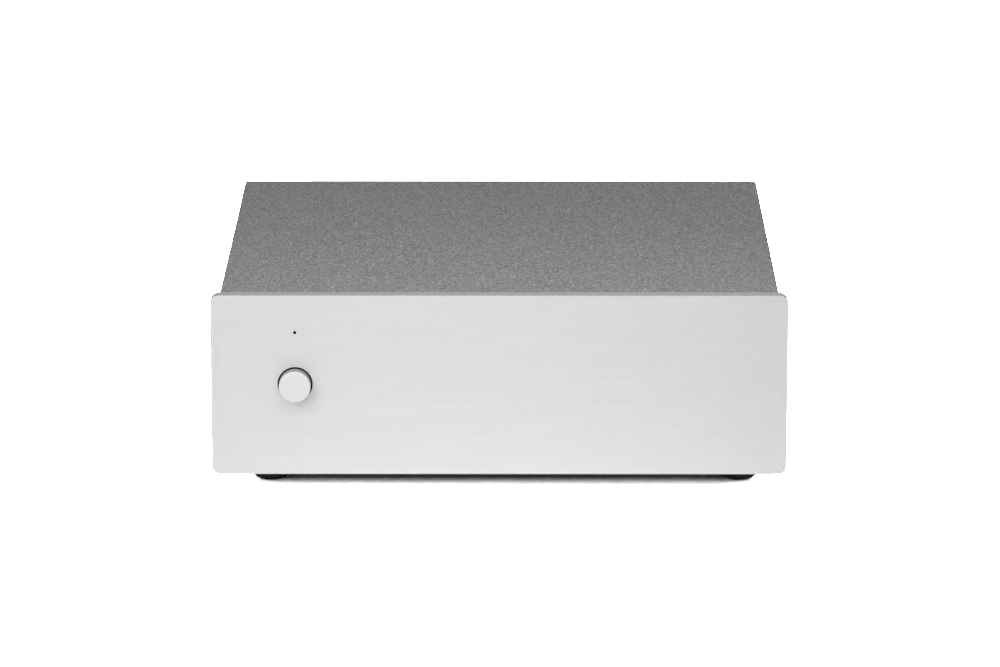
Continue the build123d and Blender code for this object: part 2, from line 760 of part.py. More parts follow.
with BuildPart() as rca_housings:
    for socket_x in socket_places.values():
        block(around(socket_x, housing_width), (housing_back_y, rear_inner_y),
              (board_top_z, socket_z + housing_above_axis))
        bar(socket_x, socket_z, barrel_root_y, rear_inner_y, barrel_radius + press_gap,
            Mode.SUBTRACT)
        bar(socket_x, socket_z, housing_back_y, barrel_root_y,
            contact_tail_radius + press_gap, Mode.SUBTRACT)
pieces["rca_housings"] = rca_housings

with BuildPart() as rca_contacts:
    for socket_x in socket_places.values():
        bar(socket_x, socket_z, barrel_root_y, contact_mouth_y, contact_radius)
        bar(socket_x, socket_z, contact_mouth_y - contact_grip_length, contact_mouth_y,
            contact_bore_radius, Mode.SUBTRACT)
        bar(socket_x, socket_z, contact_mouth_y - contact_bore_depth,
            contact_mouth_y - contact_grip_length, contact_relief_radius, Mode.SUBTRACT)
        bar(socket_x, socket_z, tail_end_y, barrel_root_y, contact_tail_radius)
        with Locations((socket_x, tail_end_y, board_top_z)):
            Cylinder(contact_tail_radius, socket_z - board_top_z,
                     align=(Align.CENTER, Align.CENTER, Align.MIN))
        with Locations((socket_x, tail_end_y, socket_z)):
            Sphere(contact_tail_radius)
pieces["rca_contacts"] = rca_contacts

# ---------------------------------------------------------------- power inlet
inlet_mouth_y = rear_face_y + inlet_boss_proud
inlet_bore_end_y = inlet_mouth_y - inlet_bore_depth
with BuildPart() as dc_jack_body:
    block(around(inlet_x, inlet_width), (rear_inner_y - inlet_depth, rear_inner_y),
          (board_top_z, board_top_z + inlet_height))
    bar(inlet_x, inlet_z, rear_inner_y, inlet_mouth_y, inlet_boss_radius)
    bar(inlet_x, inlet_z, inlet_bore_end_y, inlet_mouth_y, inlet_bore_radius, Mode.SUBTRACT)
    bar(inlet_x, inlet_z, inlet_bore_end_y - inlet_pin_root, inlet_bore_end_y,
        inlet_pin_root_radius + press_gap, Mode.SUBTRACT)
pieces["dc_jack_body"] = dc_jack_body

with BuildPart() as dc_jack_pin:
    bar(inlet_x, inlet_z, inlet_bore_end_y - inlet_pin_root, inlet_bore_end_y,
        inlet_pin_root_radius)
    bar(inlet_x, inlet_z, inlet_bore_end_y, inlet_bore_end_y + inlet_pin_length,
        inlet_pin_radius)
pieces["dc_jack_pin"] = dc_jack_pin

# ---------------------------------------------------------------- load dial on its potentiometer
dial_near_y = rear_face_y + dial_face_gap
dial_far_y = dial_near_y + dial_length
dial_cap_y = dial_far_y - dial_cap_thickness
bush_end_y = rear_face_y + bush_proud
with BuildPart() as pot_body:
    block(around(dial_x, potentiometer_width), (rear_inner_y - potentiometer_depth, rear_inner_y),
          (board_top_z, socket_z + potentiometer_above_axis))
    bar(dial_x, socket_z, rear_inner_y, bush_end_y, bush_radius)
    bar(dial_x, socket_z, rear_inner_y - shaft_tail, bush_end_y, shaft_radius + running_gap,
        Mode.SUBTRACT)
pieces["pot_body"] = pot_body

with BuildPart() as pot_nut:
    with BuildSketch(upright(rear_face_y + dial_nut_thickness)):
        with Locations((dial_x, socket_z)):
            RegularPolygon(dial_nut_across / 2, 6, major_radius=False)
            Circle(bush_radius + press_gap, mode=Mode.SUBTRACT)
    extrude(amount=dial_nut_thickness)
pieces["pot_nut"] = pot_nut

with BuildPart() as pot_shaft:
    bar(dial_x, socket_z, rear_inner_y - shaft_tail + slider_gap, dial_cap_y, shaft_radius)
pieces["pot_shaft"] = pot_shaft

with BuildPart() as impedance_knob:
    bar(dial_x, socket_z, dial_near_y, dial_far_y, dial_radius)
    chamfer(impedance_knob.edges().filter_by(GeomType.CIRCLE).sort_by(Axis.Y)[-1],
            length=turned_edge_chamfer)
    with BuildSketch(upright(dial_far_y)):
        with Locations((dial_x, socket_z)):
            with PolarLocations(dial_radius, dial_flutes):
                Circle(dial_flute_radius)
    extrude(amount=dial_length, mode=Mode.SUBTRACT)
    bar(dial_x, socket_z, dial_near_y, dial_near_y + bush_proud, dial_pocket_radius,
        Mode.SUBTRACT)
    bar(dial_x, socket_z, dial_near_y, dial_cap_y, shaft_radius + press_gap, Mode.SUBTRACT)
    block(around(dial_x, dial_pointer_width), (dial_far_y - dial_pointer_depth, dial_far_y),
          (socket_z + dial_radius / 4, socket_z + dial_radius), Mode.SUBTRACT)
pieces["impedance_knob"] = impedance_knob

# ---------------------------------------------------------------- earth post
earth_collar_y = rear_face_y + earth_collar_thickness
earth_washer_y = earth_collar_y + earth_washer_thickness
earth_nut_y = earth_washer_y + earth_nut_length
with BuildPart() as ground_post:
    bar(earth_x, socket_z, rear_inner_y - earth_stud_inside, rear_face_y + earth_stud_proud,
        earth_stud_radius)
    chamfer(ground_post.edges().filter_by(GeomType.CIRCLE).sort_by(Axis.Y)[-1],
            length=turned_edge_chamfer)
    bar(earth_x, socket_z, rear_face_y, earth_collar_y, earth_collar_radius)
pieces["ground_post"] = ground_post

with BuildPart() as ground_washer:
    bar(earth_x, socket_z, earth_collar_y, earth_washer_y, earth_washer_radius)
    bar(earth_x, socket_z, earth_collar_y, earth_washer_y,
        earth_stud_radius + earth_washer_gap, Mode.SUBTRACT)
pieces["ground_washer"] = ground_washer

with BuildPart() as ground_thumb_nut:
    bar(earth_x, socket_z, earth_washer_y, earth_nut_y, earth_nut_radius)
    chamfer(ground_thumb_nut.edges().filter_by(GeomType.CIRCLE), length=turned_edge_chamfer)
    with BuildSketch(upright(earth_nut_y)):
        with Locations((earth_x, socket_z)):
            with PolarLocations(earth_nut_radius, earth_nut_flutes):
                Circle(earth_nut_flute_radius)
    extrude(amount=earth_nut_length, mode=Mode.SUBTRACT)
    bar(earth_x, socket_z, earth_washer_y, earth_nut_y, earth_stud_radius + running_gap,
        Mode.SUBTRACT)
pieces["ground_thumb_nut"] = ground_thumb_nut

with BuildPart() as ground_lock_nut:
    with BuildSketch(upright(rear_inner_y)):
        with Locations((earth_x, socket_z)):
            RegularPolygon(earth_lock_across / 2, 6, major_radius=False)
            Circle(earth_stud_radius + press_gap, mode=Mode.SUBTRACT)
    extrude(amount=earth_lock_thickness)
pieces["ground_lock_nut"] = ground_lock_nut

# ---------------------------------------------------------------- banks of slide switches under the board
slot_offsets = [(way - (bank_ways - 1) / 2) * bank_pitch for way in range(bank_ways)]
slot_front_y = bank_y - slot_length / 2
slider_front_y = slot_front_y + slider_gap

for side, bank_x in bank_places.items():
    with BuildPart() as bank:
        block(around(bank_x, bank_length), around(bank_y, bank_width),
              (bank_bottom_z, board_bottom_z))
        for offset in slot_offsets:
            block(around(bank_x + offset, slot_width), around(bank_y, slot_length),
                  (bank_bottom_z, bank_bottom_z + slot_depth), Mode.SUBTRACT)
    pieces["dip_body_" + side] = bank
    for way, offset in enumerate(slot_offsets, start=1):
        with BuildPart() as slider:
            block(around(bank_x + offset, slot_width - 2 * slider_gap),
                  (slider_front_y, slider_front_y + slider_length),
                  (bank_bottom_z - slider_proud, bank_bottom_z + slot_depth - slider_gap))
            chamfer(slider.faces().sort_by(Axis.Z)[0].edges(), length=slider_chamfer)
        pieces[f"dip_slider_{side}_{way}"] = slider

# ---------------------------------------------------------------- electronics on the main board
relay_y = board_back_y - relay_back_inset
regulator_y = board_back_y - regulator_back_inset
first_row_y = board_front_y + front_row_inset
last_row_y = relay_y - relay_length / 2 - row_relay_gap
row_pitch = (last_row_y - first_row_y) / (row_count - 1)
row_ys = [first_row_y + row * row_pitch for row in range(row_count)]


def columns_from_right(inset, pitch, count):
    """Places along X, counted in from the board's right end."""
    return [board_half - inset - column * pitch for column in range(count)]


def pair(y, pitch):
    """Two places along Y, evenly about a row."""
    return (y - pitch / 2, y + pitch / 2)


electrolytic_xs = columns_from_right(electrolytic_inset, electrolytic_pitch, electrolytic_columns)
film_xs = columns_from_right(film_inset, film_pitch, film_columns)
relay_xs = columns_from_right(relay_inset, relay_pitch, relay_columns)
chip_xs = columns_from_right(chip_inset, chip_pitch, chip_columns)
transistor_xs = columns_from_right(transistor_inset, transistor_pitch, transistor_columns)
resistor_xs = columns_from_right(resistor_inset, resistor_pitch, resistor_columns)
reservoir_xs = (reservoir_inset - board_half, reservoir_inset + reservoir_pitch - board_half)
regulator_xs = (regulator_inset - board_half, regulator_inset + regulator_pitch - board_half)

electrolytic_places = list(product(electrolytic_xs, row_ys[0:2]))
film_places = list(product(film_xs, row_ys[2:4]))
chip_places = list(product(chip_xs, row_ys[5:7]))
reservoir_places = list(product(reservoir_xs, (row_ys[5], row_ys[7])))
relay_places = [(x, relay_y) for x in relay_xs]
resistor_places = [(x, y) for x in resistor_xs for row in (4, 7)
                   for y in pair(row_ys[row], resistor_pair_pitch)]
transistor_places = list(product(transistor_xs, pair(row_ys[8], transistor_pair_pitch)))

with BuildPart() as electrolytic_capacitors:
    for radius, height, places in (
        (electrolytic_radius, electrolytic_height, electrolytic_places),
        (reservoir_radius, reservoir_height, reservoir_places),
    ):
        with BuildSketch(Plane.XY.offset(board_top_z)):
            with Locations(*places):
                Circle(radius)
        extrude(amount=height)
    can_tops = electrolytic_capacitors.edges().filter_by(GeomType.CIRCLE).filter_by_position(
        Axis.Z, board_top_z + 1, board_top_z + reservoir_height + 1)
    fillet(can_tops, radius=electrolytic_edge)
pieces["electrolytic_capacitors"] = electrolytic_capacitors


def boxes_on_board(places, length, width, height):
    """Equal rectangular packages that stand on the main board, long side along X."""
    with BuildSketch(Plane.XY.offset(board_top_z)) as footprints:
        with Locations(*places):
            Rectangle(length, width)
    extrude(footprints.sketch, amount=height)


with BuildPart() as film_capacitors:
    boxes_on_board(film_places, film_length, film_width, film_height)
pieces["film_capacitors"] = film_capacitors

with BuildPart() as relays:
    boxes_on_board(relay_places, relay_width, relay_length, relay_height)
pieces["relays"] = relays

with BuildPart() as amplifier_chips:
    boxes_on_board(chip_places, chip_length, chip_width, chip_height)
    with BuildSketch(Plane.XY.offset(board_top_z + chip_height)):
        with Locations(*[(x - chip_length / 2, y) for x, y in chip_places]):
            Circle(chip_notch_radius)
    extrude(amount=-chip_height / 4, mode=Mode.SUBTRACT)
pieces["amplifier_chips"] = amplifier_chips

with BuildPart() as regulators:
    for regulator_x in regulator_xs:
        block(around(regulator_x, regulator_width),
              (regulator_y - regulator_body_depth, regulator_y),
              (board_top_z, board_top_z + regulator_body_height))
        block(around(regulator_x, regulator_width),
              (regulator_y - regulator_tab_depth, regulator_y),
              (board_top_z, board_top_z + regulator_tab_height))
        tab_hole_z = board_top_z + (regulator_body_height + regulator_tab_height) / 2
        bar(regulator_x, tab_hole_z, regulator_y - regulator_tab_depth, regulator_y,
            regulator_hole_radius, Mode.SUBTRACT)
pieces["regulators"] = regulators

with BuildPart() as transistor:  # a half-round package on three stilts
    with BuildSketch(Plane.XY.offset(transistor_stilts)):
        Circle(transistor_radius)
        with Locations((0, -transistor_flat)):
            Rectangle(2 * transistor_radius, transistor_radius,
                      align=(Align.CENTER, Align.MAX), mode=Mode.SUBTRACT)
    extrude(amount=transistor_height)
    with BuildSketch():
        with GridLocations(transistor_lead_pitch, 0, 3, 1):
            Circle(lead_radius)
    extrude(amount=transistor_stilts)

with BuildPart() as transistors:
    with Locations(*[(x, y, board_top_z) for x, y in transistor_places]):
        add(transistor.part)
pieces["transistors"] = transistors

with BuildPart() as resistor:  # a lying body with its leads bent down to the board
    resistor_axis_z = resistor_radius + resistor_lift
    with BuildSketch(Plane.YZ.offset(-resistor_length / 2)):
        with Locations((0, resistor_axis_z)):
            Circle(resistor_radius)
    extrude(amount=resistor_length)
    with BuildSketch(Plane.YZ.offset(-resistor_span / 2)):
        with Locations((0, resistor_axis_z)):
            Circle(lead_radius)
    extrude(amount=resistor_span)
    with BuildSketch():
        with GridLocations(resistor_span - 2 * lead_radius, 0, 2, 1):
            Circle(lead_radius)
    extrude(amount=resistor_axis_z)

with BuildPart() as resistors:
    with Locations(*[(x, y, board_top_z) for x, y in resistor_places]):
        add(resistor.part)
pieces["resistors"] = resistors

# ---------------------------------------------------------------- write the pieces
os.makedirs("parts", exist_ok=True)
for label, piece in pieces.items():
    piece.part.label = label
    export_step(piece.part, f"parts/{label}.step")
print(len(pieces), "pieces written")
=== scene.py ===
# %% [markdown]
# # A small phono preamplifier
# The construction of this box is already settled: sizes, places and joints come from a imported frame.
# Here each piece gets the surface that the real one has. A round button is remade with a soft rim,
# a screw gets its recess, and every finish gets its grain. Everything is in metres, and a piece
# stays where the frame has it.

# %% The frame
import json
import math

import bmesh
import bpy
from mathutils import Matrix, Vector


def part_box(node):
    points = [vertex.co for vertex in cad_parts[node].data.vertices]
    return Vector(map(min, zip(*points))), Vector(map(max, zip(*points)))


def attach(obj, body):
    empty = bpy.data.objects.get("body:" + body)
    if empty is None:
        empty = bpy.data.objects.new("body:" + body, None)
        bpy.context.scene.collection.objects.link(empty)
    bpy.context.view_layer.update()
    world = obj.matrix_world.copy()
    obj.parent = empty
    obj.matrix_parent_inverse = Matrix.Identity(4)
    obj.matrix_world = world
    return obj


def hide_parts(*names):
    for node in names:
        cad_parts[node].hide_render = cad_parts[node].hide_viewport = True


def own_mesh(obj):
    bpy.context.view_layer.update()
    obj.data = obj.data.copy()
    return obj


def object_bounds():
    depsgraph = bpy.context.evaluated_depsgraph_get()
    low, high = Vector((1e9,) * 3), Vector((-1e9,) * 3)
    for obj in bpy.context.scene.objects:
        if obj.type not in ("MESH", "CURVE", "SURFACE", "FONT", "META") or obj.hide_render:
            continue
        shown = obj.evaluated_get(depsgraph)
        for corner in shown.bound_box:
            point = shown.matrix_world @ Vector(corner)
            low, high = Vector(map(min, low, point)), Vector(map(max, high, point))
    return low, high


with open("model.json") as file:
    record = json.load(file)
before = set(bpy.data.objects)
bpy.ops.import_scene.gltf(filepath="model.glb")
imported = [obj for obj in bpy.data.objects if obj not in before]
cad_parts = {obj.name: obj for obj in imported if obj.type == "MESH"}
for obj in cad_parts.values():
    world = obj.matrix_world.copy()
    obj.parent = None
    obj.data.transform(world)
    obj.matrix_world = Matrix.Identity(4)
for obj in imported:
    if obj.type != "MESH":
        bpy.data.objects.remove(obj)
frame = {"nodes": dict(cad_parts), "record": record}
cad_low, cad_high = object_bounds()
scene = bpy.context.scene
MM = 0.001

# %% [markdown]
# ## Camera
# A product picture is taken with a long lens from well back, so that the box hardly tapers.
# A lens of 190 mm on a 36 mm sensor, almost two metres away and looking 14 degrees down, does that.

# %% Camera
camera_place = (5.1 * MM, -1922.5 * MM, 513.0 * MM)
camera_tilt = math.radians(14.0)
camera_turn = math.radians(0.152)
camera_lens = 190.1  # mm
camera_sensor = 36.0  # mm


def linked(name, data):
    """An object for some data, in the scene."""
    item = bpy.data.objects.new(name, data)
    scene.collection.objects.link(item)
    return item


camera = linked("camera", bpy.data.cameras.new("camera"))
camera.data.lens = camera_lens
camera.data.sensor_width = camera_sensor
camera.location = camera_place
camera.rotation_euler = (math.pi / 2 - camera_tilt, 0, camera_turn)
scene.camera = camera
scene.view_settings.view_transform = "Standard"

# %% [markdown]
# ## Colours and nodes
# A colour is easiest to choose as an sRGB hex value, but a shader works in linear light, so one
# function turns one into the other. A second one fills the inputs of a node: a value is set, and a
# socket is linked. A node given as an input stands for its first output in use.

# %% Colours and nodes


def linear(hex_colour):
    """An sRGB hex colour as the linear red, green, blue and alpha that a shader takes."""
    channels = [int(hex_colour[place:place + 2], 16) / 255 for place in (1, 3, 5)]
    return [c / 12.92 if c <= 0.04045 else ((c + 0.055) / 1.055) ** 2.4 for c in channels] + [1.0]


def set_inputs(node, inputs):
    """Fills the inputs of a node with values, sockets or other nodes."""
    for key, value in inputs.items():
        if isinstance(value, bpy.types.Node):
            value = next(socket for socket in value.outputs if socket.enabled)
        if isinstance(value, bpy.types.NodeSocket):
            node.id_data.links.new(value, node.inputs[key])
        else:
            node.inputs[key].default_value = value


def add_node(tree, kind, inputs=None, **settings):
    """A node of any kind, with its settings and its inputs."""
    node = tree.nodes.new(kind)
    for name, value in settings.items():
        setattr(node, name, value)
    set_inputs(node, inputs or {})
    return node


# %% [markdown]
# ## Grain
# Nearly every finish here is a fine random pattern: speckle in a powder coat, streaks from a brush,
# pits from blasting. All of them can be one noise on the piece's own coordinates, with its scale
# worked out from the size of a grain in millimetres, and stretched where a tool ran one way. The
# same pattern moves the colour between two tones, lifts the surface and lets the gloss drift.

# %% Grain


def grain(tree, size_mm, stretch, detail):
    """A noise with grains of a real size; a stretch of 40 makes them 40 times as long."""
    where = add_node(tree, "ShaderNodeTexCoord").outputs["Object"]
    scaled = add_node(tree, "ShaderNodeMapping", {
        "Vector": where, "Scale": tuple(1 / (size_mm * MM * times) for times in stretch)})
    return add_node(tree, "ShaderNodeTexNoise", {
        "Vector": scaled, "Scale": 1.0, "Detail": detail, "Roughness": 0.5})


def tones(tree, pattern, stops):
    """A pattern as a colour, through a ramp of (place, hex colour) stops."""
    ramp = add_node(tree, "ShaderNodeValToRGB", {"Fac": pattern})
    while len(ramp.color_ramp.elements) < len(stops):
        ramp.color_ramp.elements.new(0.5)
    for element, (place, hex_colour) in zip(ramp.color_ramp.elements, stops):
        element.position = place
        element.color = linear(hex_colour)
    return ramp


def finish(name, dark, light, metallic, roughness, grain_mm, depth_mm=0.0, stretch=(1, 1, 1),
           detail=2.0, gloss=None, lift=1.0, **sockets):
    """A material of two tones in a grain, with a relief in millimetres and a range of roughness."""
    material = bpy.data.materials.new(name)
    material.use_nodes = True
    tree = material.node_tree
    shader = tree.nodes["Principled BSDF"]
    pattern = grain(tree, grain_mm, stretch, detail)
    set_inputs(shader, {"Base Color": linear(light), "Metallic": metallic, "Roughness": roughness})
    set_inputs(shader, {socket.replace("_", " "): value for socket, value in sockets.items()})
    if dark:
        set_inputs(shader, {"Base Color": tones(tree, pattern, [(0.30, dark), (0.70, light)])})
    if gloss:
        set_inputs(shader, {"Roughness": add_node(tree, "ShaderNodeMapRange", {
            "Value": pattern, "From Min": 0.25, "From Max": 0.75,
            "To Min": gloss[0], "To Max": gloss[1]})})
    if depth_mm:
        set_inputs(shader, {"Normal": add_node(tree, "ShaderNodeBump", {
            "Height": pattern, "Distance": depth_mm * MM, "Strength": lift})})
    return material


# %% [markdown]
# ## Metal finishes
# The front plate is aluminium that was brushed along its length and then anodised clear. Anodising
# leaves a thin hard oxide, which scatters light: the metal turns pale and silky, and it mirrors
# nothing. A metallic value below 1 stands for that scatter. Real brush lines are under 0.1 mm, too
# fine to show, so they are drawn 0.5 mm high and very faint. Its milled edges aren't brushed, and
# they are drawn much darker: painted shade for the dark line along the edge. The button's face was
# blasted with fine beads instead, so it has no direction at all, and its side keeps the fine rings
# of the lathe, drawn darker as painted shade for the gap round the button.

# %% Brushed and blasted aluminium
brushed_aluminium = finish("brushed_anodised_aluminium", "#D8D8D9", "#DCDCDD", 0.55, 0.46, 0.45,
                           0.0015, stretch=(60, 1, 1), detail=4.0, gloss=(0.44, 0.48))
# Painted shade: far darker than the face, for the dark line along the panel's edge.
milled_aluminium_painted_shade = finish("milled_anodised_aluminium", "#8A8A8A", "#949494", 0.55, 0.50, 0.35,
                          0.003, stretch=(1, 30, 1))
blasted_aluminium = finish("bead_blasted_anodised_aluminium", "#D9D9D9", "#DFDFDF", 0.45, 0.50,
                           0.35, 0.004, detail=3.0)
# Lathe rings are real, but the darker tone is painted shade for the gap round the button and its
# dimmed rim.
turned_aluminium_painted_shade = finish("turned_anodised_aluminium", "#868686", "#929292", 0.30, 0.55, 0.15,
                          0.002, stretch=(60, 1, 60))

# %% [markdown]
# ## Powder coat
# The steel case is powder coated: a dry paint is melted on, and it flows into a fine orange-peel
# texture. This one carries aluminium flakes in a grey ground, so it sparkles light and dark. A
# Voronoi texture cuts space into cells, and each cell gets one random grey, as each flake lies at
# its own angle. Real flakes are about 0.1 mm, and they are drawn four times as coarse so that they
# show. A noise lifts the surface a little for the orange peel.

# %% Powder coat
flake_size = 0.42 * MM
powder_coat = finish("grey_metallic_powder_coat", None, "#767677", 0.0, 0.60, 0.7, 0.05,
                     detail=3.0, lift=0.6, Specular_IOR_Level=0.12)
tree = powder_coat.node_tree
flakes = add_node(tree, "ShaderNodeTexVoronoi", {
    "Vector": add_node(tree, "ShaderNodeTexCoord").outputs["Object"], "Scale": 1 / flake_size,
    "Randomness": 1.0})
lustre = add_node(tree, "ShaderNodeSeparateColor", {"Color": flakes.outputs["Color"]})
set_inputs(tree.nodes["Principled BSDF"], {"Base Color": tones(tree, lustre, [
    (0.00, "#535354"), (0.35, "#6F6F70"), (0.70, "#7F7F80"), (1.00, "#A9A9AA")])})

# %% [markdown]
# ## Plated metals
# The screws and the inner bulkhead are steel with a bright zinc plate, which is bluish and slightly
# cloudy. The sockets are gold over brass, and the earth post and the standoffs are nickel over
# brass. All are full metals, so their colour is their reflection, and only the cloudiness of each
# plate differs.

# %% Plated metals


def plated(name, dark, light, roughness, cloud_mm):
    """A plated metal whose tint and gloss drift a little over patches of a given size."""
    return finish(name, dark, light, 1.0, roughness, cloud_mm,
                  gloss=(0.8 * roughness, 1.25 * roughness))


zinc_plate = plated("bright_zinc_plate", "#C0C4C7", "#CDD0D2", 0.32, 2.5)
nickel_plate = plated("nickel_plate", "#C2BEB6", "#D6D2CA", 0.22, 1.5)
gold_plate = plated("gold_flash_on_brass", "#D3A352", "#E6BD6B", 0.20, 1.5)
spring_wire = plated("drawn_spring_steel", "#A6A6A6", "#BDBDBD", 0.25, 0.8)
pressed_aluminium = plated("pressed_aluminium_can", "#B0B0B2", "#C4C4C6", 0.35, 1.2)

# %% [markdown]
# ## Moulded plastics and rubber
# Moulded parts take the texture of their mould: a fine spark-eroded grain on the black housings, and
# a polished mould for the white and red cores. The feet are soft black rubber, which reflects
# little and always looks dusty at its edges, so it is dark grey rather than black. The holes of the
# front panel, and the part of the button that they hide, are lined with matt black: painted shade
# for the narrow, deep gaps. The lamp's lens is near black too, as painted shade in its pinhole.

# %% Moulded plastics and rubber
black_nylon = finish("black_glass_filled_nylon", "#18181A", "#202022", 0.0, 0.48, 0.25, 0.010)
black_epoxy = finish("black_moulding_epoxy", "#1B1B1C", "#242425", 0.0, 0.55, 0.20, 0.008)
red_plastic = finish("red_moulded_abs", "#B01218", "#BA1A1F", 0.0, 0.30, 0.60, 0.003)
white_plastic = finish("white_moulded_abs", "#E6E5E0", "#ECEBE7", 0.0, 0.32, 0.60, 0.003)
foot_rubber = finish("black_moulded_rubber", "#242426", "#2E2E30", 0.0, 0.62, 0.30, 0.015)
ribbon_vinyl = finish("grey_ribbon_vinyl", "#8C8C90", "#949498", 0.0, 0.42, 0.80, 0.004)
# Painted shade: plain black on the walls of the panel's holes and on the hidden part of the button.
painted_shade_lining = finish("matt_black_bore_lacquer", "#070708", "#0B0B0C", 0.0, 0.85, 0.30, 0.004,
                      Specular_IOR_Level=0.1)
# Painted shade: the lens is near black, so the pinhole reads as a dark shaded hole.
lens_painted_shade = finish("smoked_lamp_epoxy", "#08080A", "#0C0C0E", 0.0, 0.55, 1.00, 0.002,
                   Specular_IOR_Level=0.1)

# %% [markdown]
# ## Finishes of the electronics
# Behind the cover are a circuit board in green solder mask over woven glass, with a sawn edge of
# bare yellowish resin, capacitors in dark shrink sleeves, dipped red film capacitors, and blue metal
# film resistors with brown rings. White ink is printed on the board and on the rear panel.

# %% Finishes of the electronics
solder_mask = finish("green_solder_mask", "#0F4726", "#1A5F36", 0.0, 0.35, 0.6, 0.010,
                     stretch=(3, 1, 1), Coat_Weight=0.4)
bare_board = finish("sawn_glass_epoxy", "#9C8E5C", "#B4A672", 0.0, 0.65, 0.3, 0.010,
                    stretch=(1, 1, 4))
white_ink = finish("white_screen_ink", "#D2D2CE", "#E0E0DC", 0.0, 0.55, 0.25, 0.004)
sleeve_ink = finish("pale_sleeve_ink", "#A2A6AE", "#B2B6BD", 0.0, 0.40, 0.5)
capacitor_sleeve = finish("black_shrink_sleeve", "#1D1F27", "#23252E", 0.0, 0.30, 2.00, 0.010)
film_coating = finish("red_dipped_epoxy", "#8E1B16", "#9C241E", 0.0, 0.25, 1.20, 0.020)
resistor_lacquer = finish("blue_resistor_lacquer", "#5F8FB4", "#6C9ABD", 0.0, 0.30, 0.80, 0.005)
brown_lacquer = finish("brown_band_lacquer", "#5A2F1B", "#643722", 0.0, 0.35, 0.50, 0.003)
print("materials:", len(bpy.data.materials))

# %% [markdown]
# ## Outlines with soft corners
# No edge on a real product is perfectly sharp, and it is the small rounding that catches a line of
# light. So a shape starts from a plain outline, and each corner is replaced by an arc of its own
# radius. The same function serves plates, folded sheets and turned parts.

# %% Outlines with soft corners
hair = 0.01 * MM  # less than any real feature
pin_edge = 0.05 * MM
fine_edge = 0.1 * MM
small_edge = 0.12 * MM
mould_edge = 0.15 * MM
soft_edge = 0.2 * MM
case_edge = 0.25 * MM
round_edge = 0.3 * MM


def arc(before, corner, after, radius, steps):
    """The points of the arc that replaces a corner between two straight runs in space."""
    back, on = (before - corner).normalized(), (after - corner).normalized()
    half_turn = back.angle(on) / 2
    centre = corner + (back + on).normalized() * (radius / math.sin(half_turn))
    start = corner + back * (radius / math.tan(half_turn)) - centre
    spindle = start.cross(corner + on * (radius / math.tan(half_turn)) - centre).normalized()
    return [centre + Matrix.Rotation((math.pi - 2 * half_turn) * step / steps, 3, spindle) @ start
            for step in range(steps + 1)]


def softened(corners, steps=5):
    """A closed outline from (x, y, radius) corners, each turned into an arc of that radius."""
    points = [Vector((x, y, 0)) for x, y, radius in corners]
    outline = []
    for place, point in enumerate(points):
        following = points[(place + 1) % len(points)]
        radius = corners[place][2]
        outline += arc(points[place - 1], point, following, radius, steps) if radius else [point]
    return [point.xy for point in outline]


def rectangle(low, high, radius, steps):
    """A rectangle between two corners, with soft corners."""
    return softened([(x, y, radius) for x, y in (
        (low[0], low[1]), (high[0], low[1]), (high[0], high[1]), (low[0], high[1]))], steps)


# %% [markdown]
# ## Turned parts
# A lathe makes the button, the sockets, the feet and the capacitor cans, and so does this function:
# it swings an outline of (radius, height) points round an axis. A point on the axis stays one single
# vertex, so a pole is closed and no sliver is left in the middle. The local Z axis is the spindle,
# and a matrix then puts the part in its place.

# %% Shapes and meshes
merge_distance = 1e-7


def shape_of(*meshes):
    """One editable shape from some meshes."""
    shape = bmesh.new()
    for mesh in meshes:
        shape.from_mesh(mesh)
    return shape


def as_mesh(shape):
    """A plain mesh from a shape that is done with, its faces turned outwards."""
    bmesh.ops.recalc_face_normals(shape, faces=shape.faces)
    mesh = bpy.data.meshes.new("shape")
    shape.to_mesh(mesh)
    shape.free()
    return mesh


# %% Turned parts
TO_BACK = Matrix.Rotation(-math.pi / 2, 4, "X")  # the spindle points to +Y
TO_FRONT = Matrix.Rotation(math.pi / 2, 4, "X")  # the spindle points to -Y


def lying(middle, y, way=TO_BACK):
    """The place of a spindle that lies along Y through a middle, and starts at y."""
    return Matrix.Translation((middle.x, y, middle.z)) @ way


def turned(outline, place=Matrix(), steps=48):
    """A turned solid; its outline runs once round the cut through one side."""
    shape = bmesh.new()
    rings = []
    for radius, height in outline:
        turns = [2 * math.pi * step / steps for step in range(steps if radius else 1)]
        rings.append([shape.verts.new(place @ Vector((
            radius * math.cos(turn), radius * math.sin(turn), height))) for turn in turns])
    for first, second in zip(rings, rings[1:] + rings[:1]):
        for step in range(steps if len(first) + len(second) > 2 else 0):
            corners = [points[turn % len(points)] for points, turn in (
                (first, step), (first, step + 1), (second, step + 1), (second, step))]
            shape.faces.new(list(dict.fromkeys(corners)))
    return as_mesh(shape)


# %% [markdown]
# ## Finishing a piece
# Whatever way a mesh was made, it ends the same way: doubled points are merged, faces are turned
# outwards, gentle edges are shaded smooth and hard ones stay crisp. Then the piece rides on its body,
# stands for its node of the frame, and takes its finishes.

# %% Finishing a piece
body_of = {node: body for body, nodes in frame["record"]["behaviour"]["bodies"].items()
           for node in nodes}


